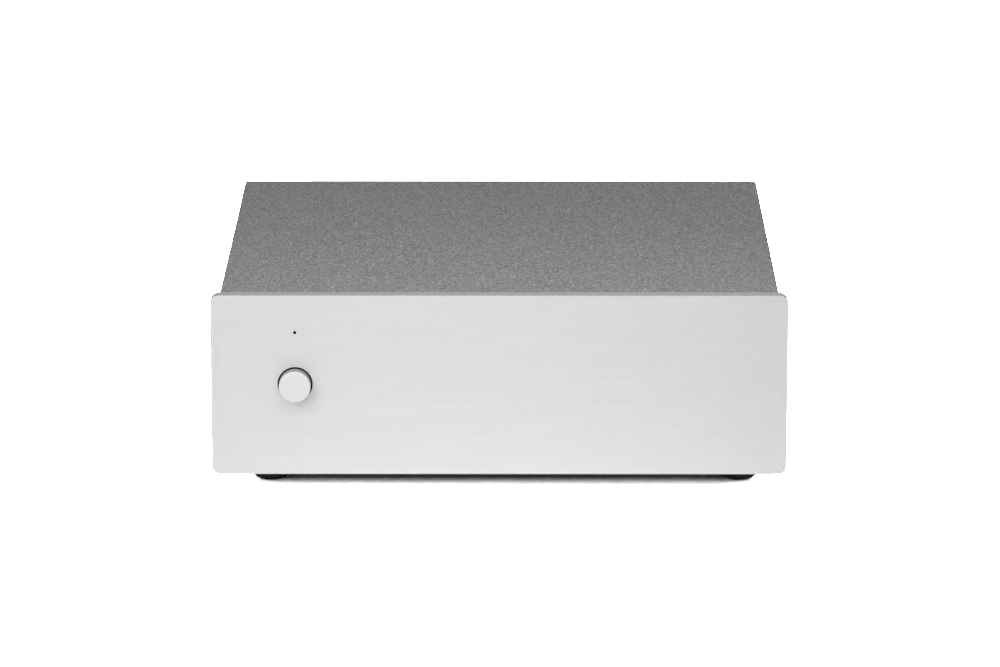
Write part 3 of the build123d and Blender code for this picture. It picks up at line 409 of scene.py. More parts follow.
def finished(name, meshes, materials, node=None, place=Matrix(), sharp=32):
    """A piece that stands for a node and rides with it; without a node it belongs to the case."""
    shape = shape_of(*(meshes if isinstance(meshes, list) else [meshes]))
    bmesh.ops.transform(shape, verts=shape.verts, matrix=place)
    bmesh.ops.remove_doubles(shape, verts=shape.verts, dist=merge_distance)
    bmesh.ops.dissolve_degenerate(shape, edges=shape.edges, dist=merge_distance)
    bmesh.ops.recalc_face_normals(shape, faces=shape.faces)
    for face in shape.faces:
        face.smooth = True
    for edge in shape.edges:
        edge.smooth = edge.is_manifold and edge.calc_face_angle(0) < math.radians(sharp)
    piece = linked(name, as_mesh(shape))
    piece.data.name = name
    for material in materials if isinstance(materials, list) else [materials]:
        piece.data.materials.append(material)
    flat_faces = piece.modifiers.new("flat_faces", "WEIGHTED_NORMAL")
    flat_faces.keep_sharp = True
    if node:
        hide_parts(node)
    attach(piece, body_of[node] if node else "root")
    return piece


def middle_of(node):
    """The middle of a node's box."""
    low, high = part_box(node)
    return (low + high) / 2


def painted(mesh, rule):
    """The same mesh; a rule picks the finish of each face from its middle and its normal."""
    for face in mesh.polygons:
        face.material_index = rule(face.center, face.normal)
    return mesh


# %% [markdown]
# ## Cutting holes
# A hole is a Boolean: a solid cutter is taken away from the piece, as a drill or a mill would do. The
# exact solver keeps the edges clean, and a narrow Bevel then takes the burr off where one is wanted.
# Cutters that cross each other are taken away one after the other.

# %% Cutting holes


def block(low, high):
    """A plain block between two corners, as a cutter or as the start of a moulded part."""
    low, high = Vector(low), Vector(high)
    shape = bmesh.new()
    bmesh.ops.create_cube(shape, size=1, matrix=Matrix.Translation((low + high) / 2)
                          @ Matrix.Diagonal((*(high - low), 1)))
    return as_mesh(shape)


def drill(place, radius, length, steps=48):
    """A round cutter, centred on a place, along its local Z axis."""
    return turned([(0, -length / 2), (radius, -length / 2), (radius, length / 2),
                   (0, length / 2)], place, steps)


def evaluated(item):
    """The plain mesh of an object with its modifiers applied; the object itself goes."""
    graph = bpy.context.evaluated_depsgraph_get()
    mesh = bpy.data.meshes.new_from_object(item.evaluated_get(graph), depsgraph=graph)
    bpy.data.objects.remove(item)
    return mesh


def machined(mesh, cutters=(), edge=0.0, segments=2):
    """A solid after its cutters are taken away and its hard edges are bevelled."""
    parts = []
    for meshes in filter(None, ([mesh], cutters)):
        shape = shape_of(*meshes)
        bmesh.ops.remove_doubles(shape, verts=shape.verts, dist=merge_distance)
        parts.append(linked("solid", as_mesh(shape)))
    solid = parts.pop(0)
    for part in parts:
        cut = solid.modifiers.new("cut", "BOOLEAN")
        cut.operation = "DIFFERENCE"
        cut.solver = "EXACT"
        cut.object = part
    if edge:
        bevel = solid.modifiers.new("deburr", "BEVEL")
        bevel.width = edge
        bevel.segments = segments
        bevel.limit_method = "ANGLE"
        bevel.angle_limit = math.radians(40)
    result = evaluated(solid)
    for part in parts:
        bpy.data.objects.remove(part)
    return result


def carved(mesh, *cutters):
    """A solid after cutters that cross each other, taken away one by one."""
    for cutter in cutters:
        mesh = machined(mesh, [cutter])
    return mesh


# %% [markdown]
# ## Front panel
# The front is a plate of solid aluminium, 5 mm thick, with rounded corners, a hole for the button
# and a pinhole for the lamp. A flat curve is the neat way to draw a plate: Extrude gives the
# thickness, and Bevel softens its outer edge. The holes are cut afterwards, because their edges are
# almost sharp. The face is brushed; the rim, which a cutter left, is a second finish, drawn darker
# as painted shade, and the walls of both holes are plain black as painted shade.

# %% Drawings with curves


def drawn(paths, radius, resolution=2, **settings):
    """A mesh from poly curves with a round bevel; the settings are the curve's own."""
    curve = bpy.data.curves.new("drawing", "CURVE")
    for name, value in settings.items():
        setattr(curve, name, value)
    for path in paths:
        line = curve.splines.new("POLY")
        line.points.add(len(path) - 1)
        for point, place in zip(line.points, path):
            point.co = (*place.to_3d(), 1)
        line.use_cyclic_u = curve.dimensions == "2D"
    curve.bevel_depth = radius
    curve.bevel_resolution = resolution
    return evaluated(linked("drawing", curve))


# %% Front panel
panel_low, panel_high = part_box("front_panel")
panel_corner = 3.0 * MM
panel_edge = 0.16 * MM
hole_edge = 0.06 * MM
button_hole = 6.2 * MM
lamp_hole = 0.5 * MM
beyond = 10 * MM  # how far a cutter runs past the back of the panel
button_middle = middle_of("button_cap")
lamp_middle = middle_of("led")
panel_holes = ((button_middle, button_hole), (lamp_middle, lamp_hole))

panel_thickness = panel_high.y - panel_low.y
plate = drawn([rectangle(panel_low.xz, panel_high.xz, panel_corner, 12)], panel_edge,
              dimensions="2D", fill_mode="BOTH", offset=-panel_edge,
              extrude=panel_thickness / 2 - panel_edge)
plate.transform(Matrix.Translation((0, (panel_low.y + panel_high.y) / 2, 0)) @ TO_FRONT)
cutters = [turned([
    (0, -beyond), (radius, -beyond), (radius, -hole_edge), (radius + hole_edge, 0),
    (radius + hole_edge, MM), (0, MM)], lying(middle, panel_low.y, TO_FRONT), 96)
    for middle, radius in panel_holes]


def panel_finish(middle, normal):
    """0 for the brushed face, 1 for the milled rim, darker as painted shade, 2 for the wall of a hole,
    black as painted shade.
    """
    if middle.y < panel_low.y + hair:
        return 0
    return 2 if abs(normal.y) < 0.9 and any(
        math.hypot(middle.x - axis.x, middle.z - axis.z) < radius + hole_edge
        for axis, radius in panel_holes) else 1


front = finished("front_panel_plate", painted(machined(plate, cutters), panel_finish),
                 [brushed_aluminium, milled_aluminium_painted_shade, painted_shade_lining], "front_panel")
print("front panel:", [round(size / MM, 2) for size in front.dimensions], "mm")

# %% [markdown]
# ## Power button
# A short cylinder turned from bar, with its rim rounded over 0.3 mm, so that a finger finds no edge
# and a fine line of light runs round it. The wider flange behind the panel keeps it from falling out.
# Its face is blasted, its side shows the rings of the lathe and is drawn darker as painted shade,
# and all that stays behind the panel's face is plain black as painted shade, so the running gap
# reads as one dark line.

# %% Power button
cap_low, cap_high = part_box("button_cap")
cap_radius = 5.7 * MM
flange_thickness = 1.2 * MM
bore_radius = 2.02 * MM
bore_depth = 7.0 * MM
flange_radius = (cap_high.x - cap_low.x) / 2
cap_length = cap_high.y - cap_low.y
cap_hidden = cap_high.y - panel_low.y
cap_outline = softened([
    (0, cap_length, 0), (cap_radius, cap_length, round_edge), (cap_radius, cap_hidden, 0),
    (cap_radius, flange_thickness, 0), (flange_radius, flange_thickness, soft_edge),
    (flange_radius, 0, soft_edge), (bore_radius, 0, mould_edge), (bore_radius, bore_depth, 0),
    (0, bore_depth, 0)], steps=8)


def cap_finish(middle, normal):
    """0 for the blasted face, 1 for the turned side, darker as painted shade, 2 for what the panel
    hides, black as painted shade.
    """
    return (middle.y >= cap_low.y + round_edge / 3) + (middle.y >= panel_low.y)


finished("button_cap_turned",
         painted(turned(cap_outline, lying(button_middle, cap_high.y, TO_FRONT), 96), cap_finish),
         [blasted_aluminium, turned_aluminium_painted_shade, painted_shade_lining], "button_cap")

# %% [markdown]
# ## Folded sheet
# The case is two sheets of steel, folded: a cover like an upturned U and a pan like a shallow one.
# A fold is never a sharp edge, since the outside of a bend stretches to a radius of a sheet or two.
# So each sheet is drawn as the outline of its end, with its bends as arcs, and pushed out along its
# length. Holes are then cut with a Boolean, and a narrow Bevel takes the burr off every cut edge.

# %% Folded sheet
sheet = 1.0 * MM
burr = 0.12 * MM
long_drill = 16 * MM
short_drill = 8 * MM


def stretched(outline, axes, near, far):
    """A solid from an outline in two axes, pushed out from near to far along the third."""
    shape = bmesh.new()
    ends = [[shape.verts.new([{axes[0]: point.x, axes[1]: point.y}.get(axis, depth)
                              for axis in range(3)]) for point in outline]
            for depth in (near, far)]
    for step in range(len(outline)):
        following = (step + 1) % len(outline)
        shape.faces.new([ends[0][step], ends[0][following], ends[1][following], ends[1][step]])
    for end in ends:
        shape.faces.new(end)
    return as_mesh(shape)


def folded(node, opening, closed, bend):
    """A sheet folded to a U along a node's box, from its open level to its closed one."""
    low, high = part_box(node)
    inner = closed + math.copysign(sheet, opening - closed)
    return stretched(softened([
        (low.x, opening, 0), (low.x, closed, bend), (high.x, closed, bend), (high.x, opening, 0),
        (high.x - sheet, opening, 0), (high.x - sheet, inner, bend - sheet),
        (low.x + sheet, inner, bend - sheet), (low.x + sheet, opening, 0)], steps=10),
        (0, 2), low.y, high.y)


# %% [markdown]
# ## Finding what is repeated
# Twenty screws share one node of the frame, and so do sixteen capacitors. To dress each of them, the
# script looks for the separate solids in a node: it merges a copy of the loose triangles, walks from
# face to face, and collects the points of each solid it meets. A screw's axis is its longest side,
# and its head is at the wider end.

# %% Finding what is repeated


def box_of(points):
    """The lowest and highest corner of some points."""
    return [Vector([choice(point[axis] for point in points) for axis in range(3)])
            for choice in (min, max)]


def joined_copy(node):
    """A shape from the loose triangles of a node, merged."""
    shape = shape_of(frame["nodes"][node].data)
    bmesh.ops.remove_doubles(shape, verts=shape.verts, dist=1e-6)
    return shape


def solids(node):
    """The points of each separate solid in a node of the frame, in a steady order."""
    shape = joined_copy(node)
    left, found = set(shape.verts), []
    while left:
        reached = [left.pop()]
        points = []
        while reached:
            vertex = reached.pop()
            points.append(vertex.co.copy())
            others = {edge.other_vert(vertex) for edge in vertex.link_edges} & left
            left -= others
            reached += others
        found.append(points)
    shape.free()
    return sorted(found, key=lambda points: [round(value / MM) for value in box_of(points)[0]])


def screw_place(points):
    """Where a screw stands: the origin at the top of its head, local Z out of the head."""
    low, high = box_of(points)
    axis = max(range(3), key=lambda side: high[side] - low[side])

    def spread(end):
        near = [point for point in points if abs(point[axis] - end) < (high - low)[axis] / 4]
        return (box_of(near)[1] - box_of(near)[0]).length

    outwards = 1 if spread(high[axis]) > spread(low[axis]) else -1
    top = (low + high) / 2
    top[axis] = high[axis] if outwards > 0 else low[axis]
    out = Vector([outwards if side == axis else 0 for side in range(3)])
    return Matrix.Translation(top) @ out.to_track_quat("Z", "Y").to_matrix().to_4x4()


# %% Cover
cover_bend = 1.1 * MM
screw_hole = 1.7 * MM
cover_low, cover_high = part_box("top_cover")
cover_screw_places = [screw_place(points) for points in solids("cover_screws")]
pan_screw_places = [screw_place(points) for points in solids("pan_head_screws")]
cover_holes = [drill(place, screw_hole, long_drill) for place in cover_screw_places]
finished("top_cover_folded", machined(folded("top_cover", cover_low.z, cover_high.z, cover_bend),
                                      cover_holes, burr), powder_coat, "top_cover")

# %% Base pan
pan_bend = 1.6 * MM
window_corner = 2.0 * MM
window_margin = Vector((2.6 * MM, 2.2 * MM, 0))
shank_hole = 2.12 * MM
pan_low, pan_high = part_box("base_pan")
cutters = list(cover_holes)
for bank in ("dip_body_left", "dip_body_right"):
    low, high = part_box(bank)
    window = rectangle(low - window_margin, high + window_margin, window_corner, 8)
    cutters.append(stretched(window, (0, 1), pan_low.z - sheet, pan_low.z + 2 * sheet))
for points in solids("board_standoffs"):
    middle = sum(box_of(points), Vector()) / 2
    cutters.append(drill(Matrix.Translation((middle.x, middle.y, pan_low.z)), shank_hole,
                         4 * sheet))
for place in pan_screw_places:
    if place.translation.z < pan_low.z:
        cutters.append(drill(place, screw_hole, short_drill))
finished("base_pan_folded", machined(folded("base_pan", pan_high.z, pan_low.z, pan_bend),
                                     cutters, burr), powder_coat, "base_pan")

# %% Rear panel
rear_sheet = 1.2 * MM
rear_bend = 1.8 * MM
lower_notch = Vector((1.8 * MM, 0, 12.1 * MM))
upper_notch = Vector((0.8 * MM, 0, -0.8 * MM))
rear_low, rear_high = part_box("rear_panel")
rear_inside = rear_high.y - rear_sheet
inner_bend = rear_bend - rear_sheet
rear_outline = softened([
    (rear_high.y, rear_low.z, rear_bend), (rear_high.y, rear_high.z, rear_bend),
    (rear_low.y, rear_high.z, 0), (rear_low.y, rear_high.z - rear_sheet, 0),
    (rear_inside, rear_high.z - rear_sheet, inner_bend),
    (rear_inside, rear_low.z + rear_sheet, inner_bend),
    (rear_low.y, rear_low.z + rear_sheet, 0), (rear_low.y, rear_low.z, 0)], steps=8)

SOCKETS = ("in_right", "in_left", "out_left", "out_right")
socket_middles = {socket: middle_of("rca_shell_" + socket) for socket in SOCKETS}
socket_hole = 4.5 * MM
inlet_hole = 4.3 * MM
bush_hole = 3.9 * MM
stud_hole = 2.05 * MM
inlet_middle = middle_of("dc_jack_pin")
dial_middle = middle_of("pot_shaft")
earth_middle = middle_of("ground_post")
rear_holes = [(middle, socket_hole) for middle in socket_middles.values()]
rear_holes += [(inlet_middle, inlet_hole), (dial_middle, bush_hole), (earth_middle, stud_hole)]
cutters = [drill(lying(middle, rear_high.y), radius, 6 * rear_sheet)
           for middle, radius in rear_holes]
for corner, size in ((rear_low.z, lower_notch), (rear_high.z, upper_notch)):
    for side in (rear_low.x, rear_high.x):
        levels = sorted((corner - math.copysign(MM, size.z), corner + size.z))
        sides = sorted((side - math.copysign(size.x, side), side + math.copysign(MM, side)))
        cutters.append(block((sides[0], rear_low.y - MM, levels[0]),
                             (sides[1], rear_high.y + MM, levels[1])))
rear_sheet_shape = stretched(rear_outline, (1, 2), rear_low.x, rear_high.x)
finished("rear_panel_folded", machined(rear_sheet_shape, cutters, burr), powder_coat, "rear_panel")
print("folded sheets: cover, pan and rear panel")

# %% [markdown]
# ## Feet
# Four moulded rubber feet, stuck on. Each is wider at the top, where the glue holds, and rounded
# below so that it doesn't catch. A shallow ring in the sole is where the mould was filled, and it
# grips like a sucker.

# %% Feet
foot_waist = 6.5 * MM
foot_edge = 2.4 * MM
sole_ring = 2.2 * MM
sole_depth = 0.5 * MM
for foot in ("front_left", "front_right", "rear_left", "rear_right"):
    low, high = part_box("foot_" + foot)
    top = (high.x - low.x) / 2
    outline = softened([
        (0, sole_depth, 0), (sole_ring - sole_depth, sole_depth, 0), (sole_ring, 0, 0),
        (foot_waist, 0, foot_edge), (foot_waist + hair / 10, foot_edge + hair, 0),
        (top, high.z, 0), (0, high.z, 0)], steps=12)
    place = Matrix.Translation(((low.x + high.x) / 2, (low.y + high.y) / 2, 0))
    finished(f"foot_{foot}_moulded", turned(outline, place, 72), foot_rubber, "foot_" + foot)

# %% [markdown]
# ## Repeating with Geometry Nodes
# A screw is modelled once. Twenty points, each with a direction stored on it, then tell a node tree
# where the copies go: Instance on Points places them, Realize Instances makes them real, and Set
# Material gives the finish. The result is taken as a plain mesh, and the modifier goes with its
# helper object.

# %% Node trees for shapes


def new_tree(name, inputs):
    """A Geometry Nodes tree with named inputs, and the outputs of the node that brings them in."""
    tree = bpy.data.node_groups.new(name, "GeometryNodeTree")
    for label, kind in {"Geometry": "Geometry", **inputs, "Material": "Material"}.items():
        tree.interface.new_socket(label, in_out="INPUT", socket_type="NodeSocket" + kind)
    tree.interface.new_socket("Geometry", in_out="OUTPUT", socket_type="NodeSocketGeometry")
    return tree, add_node(tree, "NodeGroupInput").outputs


def close_tree(tree, geometry, material):
    """Ends a tree: real geometry instead of instances, and its finish."""
    real = add_node(tree, "GeometryNodeRealizeInstances", {"Geometry": geometry})
    add_node(tree, "NodeGroupOutput", {"Geometry": add_node(
        tree, "GeometryNodeSetMaterial", {"Geometry": real, "Material": material})})


def grown(tree, start=None, **values):
    """The plain mesh that a tree makes; its inputs are given by name, with _ for a space."""
    seed = linked("seed", start or bpy.data.meshes.new("seed"))
    modifier = seed.modifiers.new("grow", "NODES")
    modifier.node_group = tree
    for item in tree.interface.items_tree:
        key = item.name.replace(" ", "_")
        if item.in_out == "INPUT" and key in values:
            modifier[item.identifier] = values[key]
    return evaluated(seed)


# %% Repeating a shape
repeat_tree, given = new_tree("Repeat a shape", {"Shape": "Object"})
shape_node = add_node(repeat_tree, "GeometryNodeObjectInfo", {"Object": given["Shape"]})
turn_node = add_node(repeat_tree, "GeometryNodeInputNamedAttribute", {"Name": "turn"},
                     data_type="FLOAT_VECTOR")
copies = add_node(repeat_tree, "GeometryNodeInstanceOnPoints", {
    "Points": given["Geometry"], "Instance": shape_node.outputs["Geometry"],
    "Rotation": add_node(repeat_tree, "FunctionNodeEulerToRotation", {"Euler": turn_node})})
close_tree(repeat_tree, copies, given["Material"])


def repeated(mesh, places, material):
    """One mesh of copies of a shape, one at each place."""
    shape = linked("shape", mesh)
    points = bpy.data.meshes.new("points")
    points.from_pydata([place.translation for place in places], [], [])
    turns = points.attributes.new("turn", "FLOAT_VECTOR", "POINT")
    for item, place in zip(turns.data, places):
        item.vector = place.to_euler()
    made = grown(repeat_tree, points, Shape=shape, Material=material)
    bpy.data.objects.remove(shape)
    return made


def layered(*layers):
    """One mesh from several; each layer takes the finish of its place in the list."""
    for number, mesh in enumerate(layers):
        mesh.polygons.foreach_set("material_index", [number] * len(mesh.polygons))
    return as_mesh(shape_of(*layers))


def assembled(name, node, places, *layers):
    """A piece of copies, made of layers that are each a mesh and its finish."""
    finished(name, layered(*[repeated(mesh, places, material) for mesh, material in layers]),
             [material for mesh, material in layers], node)


# %% [markdown]
# ## Threads
# A thread is a cylinder whose radius rises and falls along a helix. Each ring of points starts a
# little further round the thread's triangular wave, so the ridge climbs by one pitch in each turn.

# %% Threads
thread_depth = 0.6  # of the pitch


def threaded(radius, pitch, start, end, place=Matrix(), steps=20, rings=5):
    """A threaded rod from start to end along the local Z axis."""
    count = max(2, round((end - start) / pitch * rings))
    shape = bmesh.new()
    levels = []
    for level in range(count + 1):
        height = start + (end - start) * level / count
        fade = min(1.0, level / rings, (count - level) / rings)
        levels.append([])
        for turn in [step / steps for step in range(steps)]:
            wave = abs(2 * ((height / pitch - turn) % 1) - 1)
            reach = radius - thread_depth * pitch * (1 - fade * (1 - wave))
            levels[-1].append(shape.verts.new(place @ Vector((
                reach * math.cos(2 * math.pi * turn), reach * math.sin(2 * math.pi * turn),
                height))))
    for lower, upper in zip(levels, levels[1:]):
        for step in range(steps):
            following = (step + 1) % steps
            shape.faces.new([lower[step], lower[following], upper[following], upper[step]])
    shape.faces.new(levels[0])
    shape.faces.new(levels[-1])
    return as_mesh(shape)


# %% [markdown]
# ## Screws
# Two kinds hold the unit together. Inside and under the pan they are M3 pan heads with a cross
# recess, whose four wings taper towards the bottom. The cover has round heads with a hexagon socket.

# %% Screws
shank_radius = 1.5 * MM
shank_length = 5.0 * MM
m3_pitch = 0.5 * MM


def screw(cutters, radius, height, edge, steps):
    """An M3 screw with the top of its head at the origin and its shank below."""
    head = turned(softened([(0, 0, 0), (radius, 0, edge), (radius, -height, fine_edge),
                            (0, -height, 0)], steps))
    return as_mesh(shape_of(carved(head, *cutters), threaded(
        shank_radius, m3_pitch, -height - shank_length, -height)))


recess_length = 3.1 * MM
recess_width = 0.75 * MM
recess_depth = 1.2 * MM
recess_top = 0.3 * MM
recess_taper = recess_depth * math.tan(math.radians(18))
wing = [Vector(corner) for corner in (
    (-recess_length / 2, recess_top), (recess_length / 2, recess_top),
    (recess_length / 2 - recess_taper, -recess_depth),
    (-recess_length / 2 + recess_taper, -recess_depth))]
wings = [stretched(wing, (0, 2), -recess_width / 2, recess_width / 2) for number in range(2)]
wings[1].transform(Matrix.Rotation(math.pi / 2, 4, "Z"))
assembled("pan_head_screws_cross", "pan_head_screws", pan_screw_places,
          (screw(wings, radius=2.75 * MM, height=1.9 * MM, edge=0.7 * MM, steps=5), zinc_plate))

key_across = 2.0 * MM
key_depth = 1.0 * MM
key = drill(Matrix(), key_across / math.sqrt(3), 2 * key_depth, steps=6)
assembled("cover_screws_round", "cover_screws", cover_screw_places,
          (screw([key], radius=2.85 * MM, height=1.6 * MM, edge=1.3 * MM, steps=8), zinc_plate))
print("screws:", len(pan_screw_places), "with a cross and", len(cover_screw_places), "round")

# %% [markdown]
# ## Phono sockets
# One socket is a stack on one axis. A brass shell, flashed with gold, has a flange that pulls against
# an insulating washer. A plastic core in it holds the contact, a slotted sleeve that grips the pin of
# the plug. The cores are red for the right channel and white for the left. All of it is turned, so
# the outline carries the detail: the rolled lip, the shoulder and the small radius at the flange.

# %% Phono socket shells
barrel_radius = 4.15 * MM
barrel_wall = 0.7 * MM
barrel_lip = 0.33 * MM
shell_flange = 0.9 * MM
washer_low, washer_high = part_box("rca_washers")
for socket in SOCKETS:
    low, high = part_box("rca_shell_" + socket)
    length = high.y - low.y
    shoulder = washer_high.y - low.y
    flange = (high.x - low.x) / 2
    bore = barrel_radius - barrel_wall
    outline = softened([
        (bore, 0, 0), (barrel_radius, 0, small_edge), (barrel_radius, shoulder, 0),
        (flange, shoulder, small_edge), (flange, shoulder + shell_flange, round_edge),
        (barrel_radius, shoulder + shell_flange, soft_edge), (barrel_radius, length, barrel_lip),
        (bore, length, barrel_lip)])
    finished(f"rca_shell_{socket}_turned", turned(outline, lying(socket_middles[socket], low.y), 72),
             gold_plate, "rca_shell_" + socket)

# %% Cores and washers
contact_radius = 2.2 * MM
press_gap = 0.02 * MM
washer_radius = 6.2 * MM
core_mouth = 0.35 * MM
core_radius = barrel_radius - barrel_wall - press_gap


def tube(bore, radius, length, outer_edge, inner_edge):
    """The outline of a tube whose far end is rounded."""
    return softened([(bore, 0, 0), (radius, 0, 0), (radius, length, outer_edge),
                     (bore, length, inner_edge)])


def at_sockets(outline, y, ending="", steps=64):
    """A turned solid on the axis of each socket whose name ends so."""
    return [turned(outline, lying(socket_middles[socket], y), steps)
            for socket in SOCKETS if socket.endswith(ending)]


for colour, ending, plastic in (("red", "right", red_plastic), ("white", "left", white_plastic)):
    low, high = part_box("rca_cores_" + colour)
    outline = tube(contact_radius + press_gap, core_radius, high.y - low.y, soft_edge, core_mouth)
    finished(f"rca_cores_{colour}_moulded", at_sockets(outline, low.y, ending), plastic,
             "rca_cores_" + colour)
outline = tube(barrel_radius + press_gap, washer_radius, washer_high.y - washer_low.y,
               small_edge, 0)
finished("rca_washers_moulded", at_sockets(outline, washer_low.y, steps=72), black_nylon,
         "rca_washers")

# %% [markdown]
# ## Bent wire
# Leads, pins and tails are wires: straight runs with a small bend between them. A curve with a round
# bevel makes a wire of true thickness, and its ends are filled so that the mesh stays closed.

# %% Bent wire


def bent_path(corners, bend, steps=5):
    """The points of a path of straight runs in space, each inner corner bent to a radius."""
    points = [Vector(corner) for corner in corners]
    path = [points[0]]
    for before, corner, after in zip(points, points[1:], points[2:]):
        path += arc(before, corner, after, bend, steps)
    return path + [points[-1]]


def wires(paths, radius, resolution=2):
    """A mesh of round wires with closed ends, one along each path."""
    return drawn(paths, radius, resolution, dimensions="3D", use_fill_caps=True)


# %% Contacts
contact_bore = 1.65 * MM
contact_relief = 1.85 * MM
contact_grip = 7.5 * MM
contact_bore_depth = 13.5 * MM
contact_recess = 0.8 * MM
contact_slit = 0.35 * MM
contact_slit_depth = 6.0 * MM
tail_radius = 0.6 * MM
tail_bend = 1.0 * MM
tail_start = 0.5 * MM
shell_low, shell_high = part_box("rca_shell_in_right")
tails_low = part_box("rca_contacts")[0]
contact_length = shell_high.y - contact_recess - shell_low.y
grip_end = contact_length - contact_grip
bore_end = contact_length - contact_bore_depth
sleeve = turned(softened([
    (0, 0, 0), (contact_radius, 0, small_edge), (contact_radius, contact_length, soft_edge),
    (contact_bore, contact_length, case_edge), (contact_bore, grip_end, 0),
    (contact_relief, grip_end, 0), (contact_relief, bore_end, 0), (0, bore_end, 0)]))
slits = [block((-x, -y, contact_length - contact_slit_depth), (x, y, contact_length + MM))
         for x, y in ((contact_slit / 2, 2 * contact_radius),
                      (2 * contact_radius, contact_slit / 2))]
tail_end = tails_low.y + tail_radius - shell_low.y
tail_drop = socket_middles["in_right"].z - tails_low.z
tail = wires([bent_path([(0, 0, tail_start), (0, 0, tail_end), (0, tail_drop, tail_end)],
                        tail_bend)], tail_radius)
assembled("rca_contacts_slotted", "rca_contacts",
          [lying(middle, shell_low.y) for middle in socket_middles.values()],
          (as_mesh(shape_of(carved(sleeve, *slits), tail)), gold_plate))
print("phono sockets:", len(SOCKETS))

# %% [markdown]
# ## Flutes
# The dial and the thumb nut have flutes, so that fingers grip them. One node tree cuts both: it
# takes a plain turned shape, works out how far round the axis each point is, and pushes the points
# near the rim inwards with a wave. The number of flutes, their depth and where they begin are the
# tree's inputs.

# %% Flutes
flute_tree, given = new_tree("Flutes", {
    "Flutes": "Float", "Depth": "Float", "Inner Radius": "Float", "Outer Radius": "Float"})
sides = add_node(flute_tree, "ShaderNodeSeparateXYZ", {
    "Vector": add_node(flute_tree, "GeometryNodeInputPosition")}).outputs
turn = add_node(flute_tree, "ShaderNodeMath", {0: sides["Y"], 1: sides["X"]}, operation="ARCTAN2")
wave = add_node(flute_tree, "ShaderNodeMath", {0: turn, 1: given["Flutes"]}, operation="MULTIPLY")
hollow = add_node(flute_tree, "ShaderNodeMapRange", {
    "Value": add_node(flute_tree, "ShaderNodeMath", {0: wave}, operation="COSINE"),
    "From Min": -0.1, "From Max": 1.0, "To Min": 0.0, "To Max": given["Depth"]})
outwards = add_node(flute_tree, "ShaderNodeCombineXYZ", {"X": sides["X"], "Y": sides["Y"]})
near_rim = add_node(flute_tree, "ShaderNodeMapRange", {
    "Value": add_node(flute_tree, "ShaderNodeVectorMath", {0: outwards}, operation="LENGTH"),
    "From Min": given["Inner Radius"], "From Max": given["Outer Radius"],
    "To Min": 0.0, "To Max": -1.0})
push = add_node(flute_tree, "ShaderNodeVectorMath", {
    0: add_node(flute_tree, "ShaderNodeVectorMath", {0: outwards}, operation="NORMALIZE"),
    "Scale": add_node(flute_tree, "ShaderNodeMath", {0: hollow, 1: near_rim},
                      operation="MULTIPLY")}, operation="SCALE")
moved = add_node(flute_tree, "GeometryNodeSetPosition", {
    "Geometry": given["Geometry"], "Offset": push})
close_tree(flute_tree, moved, given["Material"])
steps_per_flute = 10


def fluted(outline, material, flutes, depth, inner, outer):
    """A turned solid with flutes round its rim, about the local Z axis."""
    return grown(flute_tree, turned(outline, steps=flutes * steps_per_flute), Flutes=float(flutes),
                 Depth=depth, Inner_Radius=inner, Outer_Radius=outer, Material=material)


# %% [markdown]
# ## Load dial
# The dial sets the load that the cartridge sees. It is an aluminium cap on the shaft of a
# potentiometer, with a pocket behind that hides the nut. The line that points at the scale is a
# groove filled with black paint, so it is cut with a Boolean and its floor gets the paint.

# %% Load dial
dial_low, dial_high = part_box("impedance_knob")
dial_radius = (dial_high.x - dial_low.x) / 2
dial_length = dial_high.y - dial_low.y
dial_pocket = 5.6 * MM
dial_pocket_depth = 3.4 * MM
dial_bore = 3.02 * MM
dial_bore_end = 5.2 * MM
dial_edge = 0.45 * MM
dial_dish = 0.2 * MM
dial_dish_radius = 5.4 * MM
pointer_width = 0.9 * MM
pointer_depth = 0.5 * MM
outline = softened([
    (0, dial_bore_end, 0), (dial_bore, dial_bore_end, 0), (dial_bore, dial_pocket_depth, 0),
    (dial_pocket, dial_pocket_depth, 0), (dial_pocket, 0, 0), (dial_radius, 0, soft_edge),
    (dial_radius, dial_length, dial_edge), (dial_dish_radius, dial_length, round_edge),
    (dial_dish_radius - 2 * dial_dish, dial_length - dial_dish, round_edge),
    (0, dial_length - dial_dish, 0)], steps=6)
groove = block((-pointer_width / 2, -dial_radius - MM, dial_length - pointer_depth),
               (pointer_width / 2, -dial_radius / 4, dial_length + MM))


def groove_finish(middle, normal):
    """1 for the walls and the floor of the pointer's groove, 0 for the rest."""
    floor = dial_length - 0.99 * pointer_depth
    return int(abs(middle.x) < 0.501 * pointer_width and middle.y < -0.24 * dial_radius
               and dial_length - 1.01 * pointer_depth < middle.z < dial_length - 2 * hair
               and (abs(normal.x) > 0.9 or normal.y < -0.9 or middle.z < floor))


cap = fluted(outline, blasted_aluminium, flutes=24, depth=0.42 * MM, inner=6.1 * MM,
             outer=dial_radius)
finished("load_dial_fluted", painted(carved(cap, groove), groove_finish),
         [blasted_aluminium, black_nylon], "impedance_knob", lying(dial_middle, dial_low.y))

# %% [markdown]
# ## Nuts and the earth post
# A hexagon nut is faced off on a cone, which leaves a curved chamfer at each of its six corners. The
# earth post is an M4 stud with a real thread, a collar that bears on the panel, a loose washer and a
# fluted thumb nut. The wire of the turntable's earth goes under the washer.

# %% Hexagon nuts
facing_angle = math.radians(30)
facing_start = 0.49  # of the width across the flats
facing_reach = 0.5 * MM


